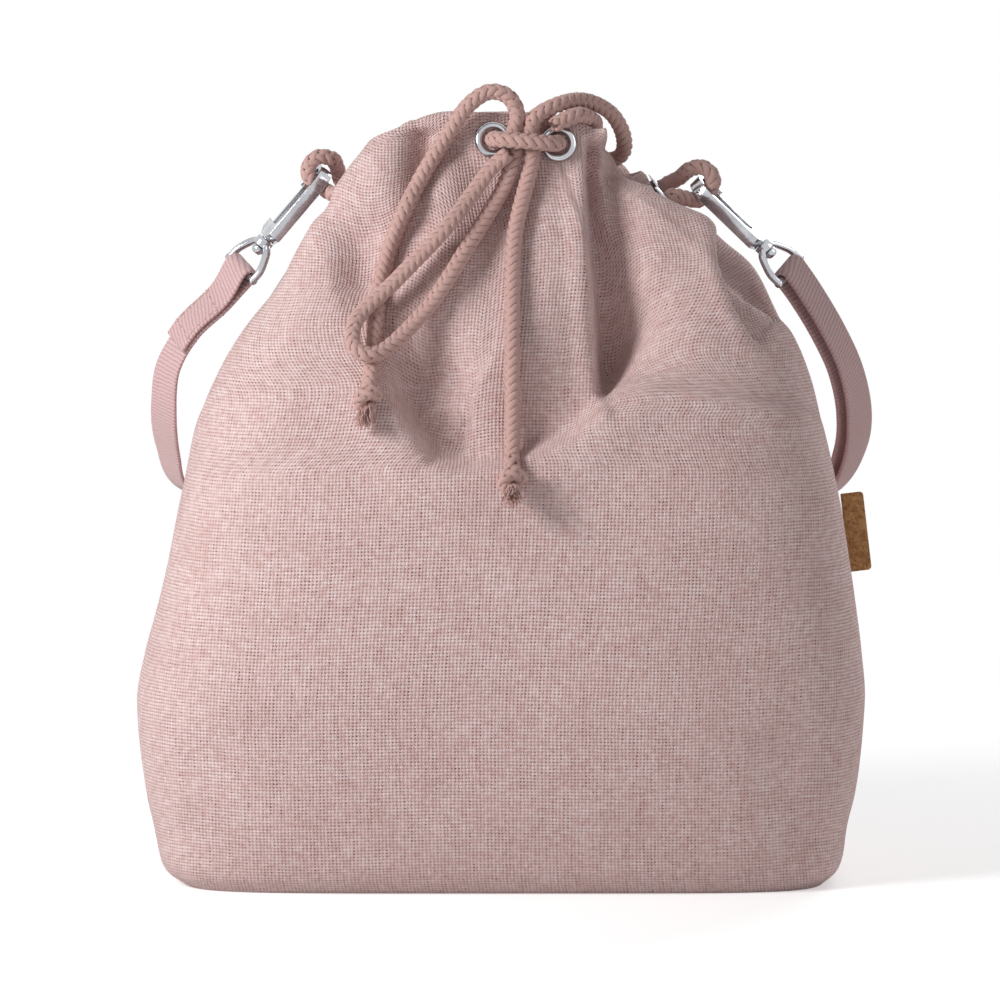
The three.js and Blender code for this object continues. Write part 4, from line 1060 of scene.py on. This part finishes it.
for name, spot in EYELETS.items():
    normal = EYELET_NORMALS[name]
    low, high = reach_along(name + "_eyelet", spot, normal)
    crown_r, crown_half = (HOLE_R + FLANGE_R) / 2, (FLANGE_R - HOLE_R) / 2
    crown = [(crown_r + crown_half * math.cos(a), high - FLANGE_HIGH * (1 - math.sin(a)))
             for a in np.linspace(0, math.pi, 15)]
    profile = [(HOLE_R, low + LIP_HIGH), (LIP_R - 0.3, low), (LIP_R, low + 0.25), (BARREL_R, low + LIP_HIGH),
               (BARREL_R, high - FLANGE_HIGH)] + crown
    piece = ring_piece(name + "_ring", profile, spot, normal)
    finish_piece(piece, "bag", "chrome", plated, name + "_eyelet")
    low, high = reach_along(name + "_washer", spot, normal)
    profile = [(WASHER_HOLE_R, low), (WASHER_R - 0.15, low), (WASHER_R, low + 0.15), (WASHER_R, high - 0.15),
               (WASHER_R - 0.15, high), (WASHER_HOLE_R, high)]
    piece = ring_piece(name + "_back_ring", profile, spot, normal)
    finish_piece(piece, "bag", "chrome", plated, name + "_washer")
print("eyelets:", len(EYELETS))

# %% [markdown]
# The snap hooks are small castings. The solids already have their exact form with its slot and bores,
# so a copy of each is taken, its corners are rounded with a bevel and its curves are shaded smooth.
# The strap eyes are bent wire and are swept fresh, because a wire needs a round section.

# %% Hooks and gates
CASTING_BEVEL = 0.00034


def rounded_copy(name, node, body, slot_name, finish, bevel=CASTING_BEVEL):
    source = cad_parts[node]
    mesh = source.data.copy()
    mesh.name = name
    mesh.materials.clear()
    work = bmesh.new()
    work.from_mesh(mesh)
    bmesh.ops.remove_doubles(work, verts=work.verts, dist=2e-6)
    bmesh.ops.dissolve_limit(work, angle_limit=math.radians(1.0), verts=work.verts, edges=work.edges)
    corners = [e for e in work.edges if len(e.link_faces) == 2 and e.calc_face_angle() > math.radians(40)]
    bmesh.ops.bevel(work, geom=corners, offset=bevel, segments=3, profile=0.5, affect="EDGES",
                    clamp_overlap=True)
    work.to_mesh(mesh)
    work.free()
    mesh.shade_smooth()
    mesh.set_sharp_from_angle(angle=math.radians(38))
    piece = bpy.data.objects.new(name, mesh)
    scene.collection.objects.link(piece)
    finish_piece(piece, body, slot_name, finish, node)


for side in ("left", "right"):
    hook_body, gate_body = side + "_snap_hook", side + "_snap_gate"
    rounded_copy(side + "_hook_casting", side + "_hook", hook_body, "chrome", plated)
    rounded_copy(side + "_gate_leaf", side + "_gate", gate_body, "chrome", plated, 0.0002)
    rounded_copy(side + "_gate_rivet", side + "_gate_pin", hook_body, "chrome", plated, 0.0001)
    rounded_copy(side + "_stud", side + "_swivel_stud", hook_body, "chrome", plated, 0.0002)
    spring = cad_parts[side + "_gate_spring"]
    spring.data.materials.clear()
    spring.data.materials.append(plated)
print("hooks: 2")

# %% [markdown]
# Each strap eye is a bow of wire with a straight bar for the webbing and a turned boss for the stud.

# %% Strap eyes
SEAT_G, BASE_TO, GAP, BOSS_HIGH, BOSS_R = 1.87, 23.7, 0.3, 3.0, 2.9
BAR_S, EYE_HALF, WIRE_R, STUD_HOLE_R = 36.4, 7.8, 1.25, 1.55
EYE_SPREAD = {"left": (0.496, -0.752, -0.43), "right": (-0.496, -0.752, -0.43)}


def eye_frame(side):
    h = HOOKS[side]
    spread = np.array(EYE_SPREAD[side])
    b = unit(spread - np.dot(spread, h["a"]) * h["a"])
    swivel = in_hook(side, 0, SEAT_G, 0)
    return b, lambda s, across: swivel + s * h["a"] + across * b


EYES = {}
for side in ("left", "right"):
    b, at_eye = eye_frame(side)
    EYES[side] = dict(b=b, bar=at_eye(BAR_S, 0))
    middle = BASE_TO + GAP + BOSS_HIGH / 2
    half = [(BAR_S - 3.4, 1.0), (middle + 4.2, 0.8), (middle + 1.6, 0.55)]
    wires = Parts()
    for across in (-1, 1):
        points = [at_eye(BAR_S, EYE_HALF * across)]
        points += [at_eye(s, EYE_HALF * share * across) for s, share in half]
        points.append(at_eye(middle + 0.2, 1.9 * across))
        route, _ = smooth_route(points, 0.5)
        wires.add(tube_points(route, WIRE_R, 16))
    bar, _ = smooth_route([at_eye(BAR_S, k * EYE_HALF) for k in (-1.12, -0.5, 0.5, 1.12)], 0.8)
    wires.add(tube_points(bar, WIRE_R, 16))
    edge, high = 0.35, BOSS_HIGH / 2
    boss = [(STUD_HOLE_R, -high), (BOSS_R - edge, -high), (BOSS_R - 0.1, -high + 0.4 * edge),
            (BOSS_R, -high + edge), (BOSS_R, high - edge), (BOSS_R - 0.1, high - 0.4 * edge),
            (BOSS_R - edge, high), (STUD_HOLE_R, high)]
    wires.add(turned(boss + boss[:1], at_eye(middle, 0), HOOKS[side]["a"], 40), caps=False)
    piece = wires.object(side + "_strap_ring")
    finish_piece(piece, "strap", "chrome", plated, side + "_strap_eye")
print("strap eyes: 2")

# %% [markdown]
# The strap is one length of webbing. Each end goes round its bar and lies back on itself, where it is
# sewn. It is swept as a flat section with round edges along the same line as the solid, and the ribs
# follow a UV map that runs along it.

# %% Strap
STRAP_WIDE, STRAP_THICK, STRAP_STEP = 12.0, 1.4, 1.5
LEFT_TAIL, RIGHT_TAIL = 32.0, 118.0
LAYER_HALF, RIGHT_LAYER_HALF = 0.9, 2.1
TURN_R = WIRE_R + GAP + STRAP_THICK / 2
LEFT_BAR, RIGHT_BAR = EYES["left"]["bar"], EYES["right"]["bar"]
STRAP_ROUTE = [
    (LEFT_BAR, EYES["left"]["b"]), (LEFT_BAR + (-6.46, 1.19, -8.68), (0.7, -1, -0.5)),
    ((-99.5, 3.4, 173), (0.75, -1, -0.3)), ((-106.4, 7.6, 161), (0.75, -1, 0)),
    ((-108.2, 17, 146), (0.75, -1, 0)), ((-108, 32, 132), (0.6, -1, 0)),
    ((-105, 46, 120), (0.4, -1, 0)), ((-90, 60, 110), (0.2, -1, 0)),
    ((-76, 67, 98), (0, -1, 0)), ((-55, 71, 88), (0, -1, 0)), ((-30, 72.8, 81), (0, -1, 0)),
    ((0, 73.5, 78), (0, -1, 0)), ((30, 72.8, 81), (0, -1, 0)), ((56, 71, 88), (0, -1, 0)),
    ((78, 67, 98), (0, -1, 0)), ((93, 60, 110), (-0.2, -1, 0)), ((108.5, 47, 119), (-0.4, -1, 0)),
    ((114, 32, 133), (-0.6, -1, 0)), ((114, 19, 146), (-0.75, -1, 0)), ((110.4, 9.6, 160), (-0.75, -1, 0)),
    ((104.4, 4, 172.4), (-0.75, -1, -0.3)), (RIGHT_BAR + (5.1, 1.19, -7.08), (-0.7, -1, -0.5)),
    (RIGHT_BAR, EYES["right"]["b"]),
]
strap_line, strap_at = smooth_route([np.asarray(p, float) for p, _ in STRAP_ROUTE], 0.5)
strap_length = strap_at[-1]
nearest = [int(np.argmin(np.linalg.norm(strap_line - p, axis=1))) for p, _ in STRAP_ROUTE]
width_ways = np.array([w for _, w in STRAP_ROUTE], float)


def strap_frame(s):
    s = min(max(s, 0.0), strap_length)
    p = np.array([np.interp(s, strap_at, strap_line[:, k]) for k in range(3)])
    ahead = np.array([np.interp(s + 0.8, strap_at, strap_line[:, k]) for k in range(3)])
    behind = np.array([np.interp(s - 0.8, strap_at, strap_line[:, k]) for k in range(3)])
    t = unit(ahead - behind)
    w = np.array([np.interp(s, strap_at[nearest], width_ways[:, k]) for k in range(3)])
    w = unit(w - np.dot(w, t) * t)
    return p, t, w, unit(np.cross(w, t))


def close_in(s):
    return math.exp(-((s / 6) ** 2))


def left_half(s):
    return LAYER_HALF + (TURN_R - LAYER_HALF) * close_in(s)


def right_half(s):
    shut = float(ease((s - RIGHT_TAIL + 45) / 45))
    apart = RIGHT_LAYER_HALF + (LAYER_HALF - RIGHT_LAYER_HALF) * shut
    return apart + (TURN_R - apart) * close_in(s)


stations = []


def put(s, offset):
    p, t, w, f = strap_frame(s)
    stations.append((p + f * offset, w))


def turn_round(s, away):
    p, t, w, f = strap_frame(s)
    for a in np.linspace(0, np.pi, 14)[1:-1]:
        stations.append((p - f * TURN_R * math.cos(a) + away * t * TURN_R * math.sin(a), w))


for s in np.arange(LEFT_TAIL, -0.01, -STRAP_STEP):
    put(s, -left_half(s))
turn_round(0.0, -1)
for s in np.linspace(0, strap_length, int(strap_length / STRAP_STEP)):
    left_share = 1 - float(ease((s - LEFT_TAIL) / LEFT_TAIL))
    right_share = 1 - float(ease((strap_length - s - RIGHT_TAIL) / LEFT_TAIL))
    put(s, left_share * left_half(s) - right_share * right_half(strap_length - s))
turn_round(strap_length, 1)
for s in np.arange(0, RIGHT_TAIL + 0.01, STRAP_STEP):
    put(strap_length - s, right_half(s))

# %% [markdown]
# The stations become one closed mesh: a flat section with round edges at every station.

# %% Webbing section
centre = np.array([p for p, _ in stations])
wide = np.array([w for _, w in stations])
tangent = unit(np.gradient(centre, axis=0))
wide = unit(wide - (wide * tangent).sum(axis=1)[:, None] * tangent)
flat_way = np.cross(tangent, wide)
walked = np.concatenate([[0], np.cumsum(np.linalg.norm(np.diff(centre, axis=0), axis=1))])
edge_r = STRAP_THICK / 2
outline = [(x, edge_r) for x in np.linspace(-STRAP_WIDE / 2 + edge_r, STRAP_WIDE / 2 - edge_r, 13)]
outline += [(STRAP_WIDE / 2 - edge_r + edge_r * math.sin(a), edge_r * math.cos(a))
            for a in np.linspace(0, math.pi, 7)[1:-1]]
outline += [(x, -edge_r) for x in np.linspace(STRAP_WIDE / 2 - edge_r, -STRAP_WIDE / 2 + edge_r, 13)]
outline += [(-STRAP_WIDE / 2 + edge_r - edge_r * math.sin(a), -edge_r * math.cos(a))
            for a in np.linspace(0, math.pi, 7)[1:-1]]
outline = np.array(outline)[::-1]
strap_grid = centre[:, None] + wide[:, None] * outline[None, :, :1] + flat_way[:, None] * outline[None, :, 1:]
strap_uv = np.stack([np.broadcast_to(walked[:, None], strap_grid.shape[:2]),
                     np.broadcast_to(outline[None, :, 0], strap_grid.shape[:2])], axis=-1)
strap_parts = Parts()
strap_parts.add(strap_grid, uv=strap_uv)
strap_piece = strap_parts.object("webbing_strap")
finish_piece(strap_piece, "strap", "webbing", webbing, "strap_webbing")
print("strap:", round(walked[-1]), "mm of webbing")

# %% [markdown]
# The label is a rounded copy of its solid.

# %% Cork label
rounded_copy("cork_label", "side_label", "label", "cork", cork, 0.0003)
print("label made")

# %% [markdown]
# Stitches repeat along a line, which is what Geometry Nodes are good at. The tree lays points along a
# curve at an even spacing, puts one small rounded stitch on each and turns it along the line.

# %% Stitch tree
def stitch_tree():
    tree = bpy.data.node_groups.new("stitches", "GeometryNodeTree")
    tree.interface.new_socket("Line", in_out="INPUT", socket_type="NodeSocketGeometry")
    for label in ("Spacing", "Stitch Length", "Thread Radius"):
        tree.interface.new_socket(label, in_out="INPUT", socket_type="NodeSocketFloat")
    tree.interface.new_socket("Thread", in_out="INPUT", socket_type="NodeSocketMaterial")
    tree.interface.new_socket("Stitches", in_out="OUTPUT", socket_type="NodeSocketGeometry")
    nodes = tree.nodes
    start, end = nodes.new("NodeGroupInput"), nodes.new("NodeGroupOutput")
    points = nodes.new("GeometryNodeCurveToPoints")
    points.mode = "LENGTH"
    ball = nodes.new("GeometryNodeMeshUVSphere")
    ball.inputs["Segments"].default_value = 8
    ball.inputs["Rings"].default_value = 6
    ball.inputs["Radius"].default_value = 1.0
    scale = nodes.new("ShaderNodeCombineXYZ")
    shape = nodes.new("GeometryNodeTransform")
    place = nodes.new("GeometryNodeInstanceOnPoints")
    real = nodes.new("GeometryNodeRealizeInstances")
    soft = nodes.new("GeometryNodeSetShadeSmooth")
    paint = nodes.new("GeometryNodeSetMaterial")
    for giver, given, taker, taken in (
        (start, "Line", points, "Curve"), (start, "Spacing", points, "Length"),
        (start, "Thread Radius", scale, 0), (start, "Thread Radius", scale, 1),
        (start, "Stitch Length", scale, 2), (ball, "Mesh", shape, "Geometry"), (scale, 0, shape, "Scale"),
        (points, "Points", place, "Points"), (points, "Rotation", place, "Rotation"),
        (shape, "Geometry", place, "Instance"), (place, "Instances", real, "Geometry"),
        (real, "Geometry", soft, "Geometry"), (soft, "Geometry", paint, "Geometry"),
        (start, "Thread", paint, "Material"), (paint, "Geometry", end, "Stitches"),
    ):
        tree.links.new(giver.outputs[given], taker.inputs[taken])
    return tree


STITCHES = stitch_tree()


def sew(name, lines, body, finish, spacing=2.6, length=2.0, thread_r=0.24):
    curve = bpy.data.curves.new(name + "_line", "CURVE")
    curve.dimensions = "3D"
    for line in lines:
        spline = curve.splines.new("POLY")
        spline.points.add(len(line) - 1)
        for point, p in zip(spline.points, np.asarray(line) * MM):
            point.co = (*p, 1.0)
    guide = bpy.data.objects.new(name + "_line", curve)
    scene.collection.objects.link(guide)
    modifier = guide.modifiers.new("stitches", "NODES")
    modifier.node_group = STITCHES
    values = {"Spacing": spacing * MM, "Stitch Length": length / 2 * MM, "Thread Radius": thread_r * MM,
              "Thread": finish}
    for item in STITCHES.interface.items_tree:
        if item.in_out == "INPUT" and item.name in values:
            modifier[item.identifier] = values[item.name]
    bpy.context.view_layer.update()
    ready = guide.evaluated_get(bpy.context.evaluated_depsgraph_get())
    mesh = bpy.data.meshes.new_from_object(ready)
    guide.modifiers.remove(modifier)
    bpy.data.objects.remove(guide)
    piece = bpy.data.objects.new(name, mesh)
    scene.collection.objects.link(piece)
    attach(piece, body)
    print(name, len(mesh.polygons), "faces")


PROUD, STITCH_EDGE = 0.78, 4.8
LEFT_BOX, RIGHT_BOX = (14.0, 27.0), (102.0, 114.0)


def across_strap(s, offset):
    p, t, w, f = strap_frame(s)
    return [p + f * offset + w * x for x in np.linspace(-STITCH_EDGE, STITCH_EDGE, 9)]


def along_strap(s0, s1, across, offset):
    line = []
    for s in np.linspace(s0, s1, 9):
        p, t, w, f = strap_frame(s)
        line.append(p + f * offset(s) + w * across)
    return line


left_lines = []
for way in (-1, 1):
    outside = lambda s: way * (left_half(s) + PROUD)
    left_lines += [across_strap(s, outside(s)) for s in LEFT_BOX]
    left_lines += [along_strap(*LEFT_BOX, x, outside) for x in (-STITCH_EDGE, STITCH_EDGE)]
sew("left_strap_stitches", left_lines, "strap", thread)
right_lines = []
for way in (-1, 1):
    outside = lambda s: way * (right_half(strap_length - s) + PROUD)
    ends = [strap_length - s for s in RIGHT_BOX]
    right_lines += [across_strap(s, outside(s)) for s in ends]
    right_lines += [along_strap(ends[1], ends[0], x, outside) for x in (-STITCH_EDGE, STITCH_EDGE)]
sew("right_strap_stitches", right_lines, "strap", thread)

# %% [markdown]
# The studio is a white sweep. A small key lamp stands close on the left, a little above the bag, so
# that it rakes across the folds. Two broad, weaker lamps on the right and behind lift the shadows,
# under a dim even sky. The floor shows white to the camera and still takes the shadow of the bag.

# %% Floor and light
def lamp(name, at, aim, size, power):
    data = bpy.data.lights.new(name, "AREA")
    data.shape = "DISK"
    data.size = size
    data.energy = power
    made = bpy.data.objects.new(name, data)
    made.location = at
    made.rotation_euler = (Vector(aim) - Vector(at)).to_track_quat("-Z", "Y").to_euler()
    scene.collection.objects.link(made)


def seen_directly(tree):
    path = tree.nodes.new("ShaderNodeLightPath")
    total = path.outputs["Is Camera Ray"]
    for label in ("Is Glossy Ray", "Is Transmission Ray"):
        most = tree.nodes.new("ShaderNodeMath")
        most.operation = "MAXIMUM"
        tree.links.new(total, most.inputs[0])
        tree.links.new(path.outputs[label], most.inputs[1])
        total = most.outputs[0]
    return total


SKY = 0.22
FLOOR_GLOW = 0.4
WHITE_FROM, WHITE_TO = 0.22, 0.6
world = bpy.data.worlds.new("studio")
scene.world = world
world.use_nodes = True
sky = world.node_tree.nodes["Background"]
sky.inputs["Color"].default_value = (1, 1, 1, 1)
level_mix = world.node_tree.nodes.new("ShaderNodeMix")
level_mix.inputs[2].default_value = SKY
level_mix.inputs[3].default_value = 1.0
world.node_tree.links.new(seen_directly(world.node_tree), level_mix.inputs[0])
world.node_tree.links.new(level_mix.outputs[0], sky.inputs["Strength"])

floor_shade = Shade("studio floor", roughness=0.9)
floor_shade.bsdf.inputs["Base Color"].default_value = (0.86, 0.86, 0.86, 1)
floor_shade.bsdf.inputs["Specular IOR Level"].default_value = 0.0
seen = Term(floor_shade, seen_directly(floor_shade.tree))
glow = floor_shade.node("ShaderNodeEmission", {"Strength": seen * FLOOR_GLOW})
lit = Term(floor_shade, floor_shade.bsdf.outputs[0])
both = floor_shade.node("ShaderNodeAddShader", {0: lit, 1: glow})
away = floor_shade.node("ShaderNodeVectorMath", {0: floor_shade.place()}, "Value", {"operation": "LENGTH"})
far = floor_shade.node("ShaderNodeMapRange", {"From Min": WHITE_FROM, "From Max": WHITE_TO},
                       settings={"interpolation_type": "SMOOTHSTEP"}, Value=away)
white = floor_shade.node("ShaderNodeEmission")
choose = floor_shade.node("ShaderNodeMixShader", {0: far * seen, 1: both, 2: white})
floor_shade.feed(floor_shade.tree.nodes["Material Output"].inputs["Surface"], choose)
FLOOR_HALF = 6000
floor_corners = [(x * FLOOR_HALF, y * FLOOR_HALF, 0) for x, y in ((-1, -1), (1, -1), (1, 1), (-1, 1))]
floor = make_object("floor", floor_corners, [(0, 1, 2, 3)])
floor.data.materials.append(floor_shade.material)
lamp("key", (-0.54, -0.4, 0.42), (0, 0, 0.13), 0.28, 4.2)
lamp("right", (1.4, -0.5, 0.7), (0, 0, 0.12), 1.0, 4.0)
lamp("back", (0.6, 1.3, 0.9), (0, 0, 0.12), 1.0, 12.0)
print("studio ready")

# %% [markdown]
# Last, the scene is brought up to date.

# %% Finish
bpy.context.view_layer.update()
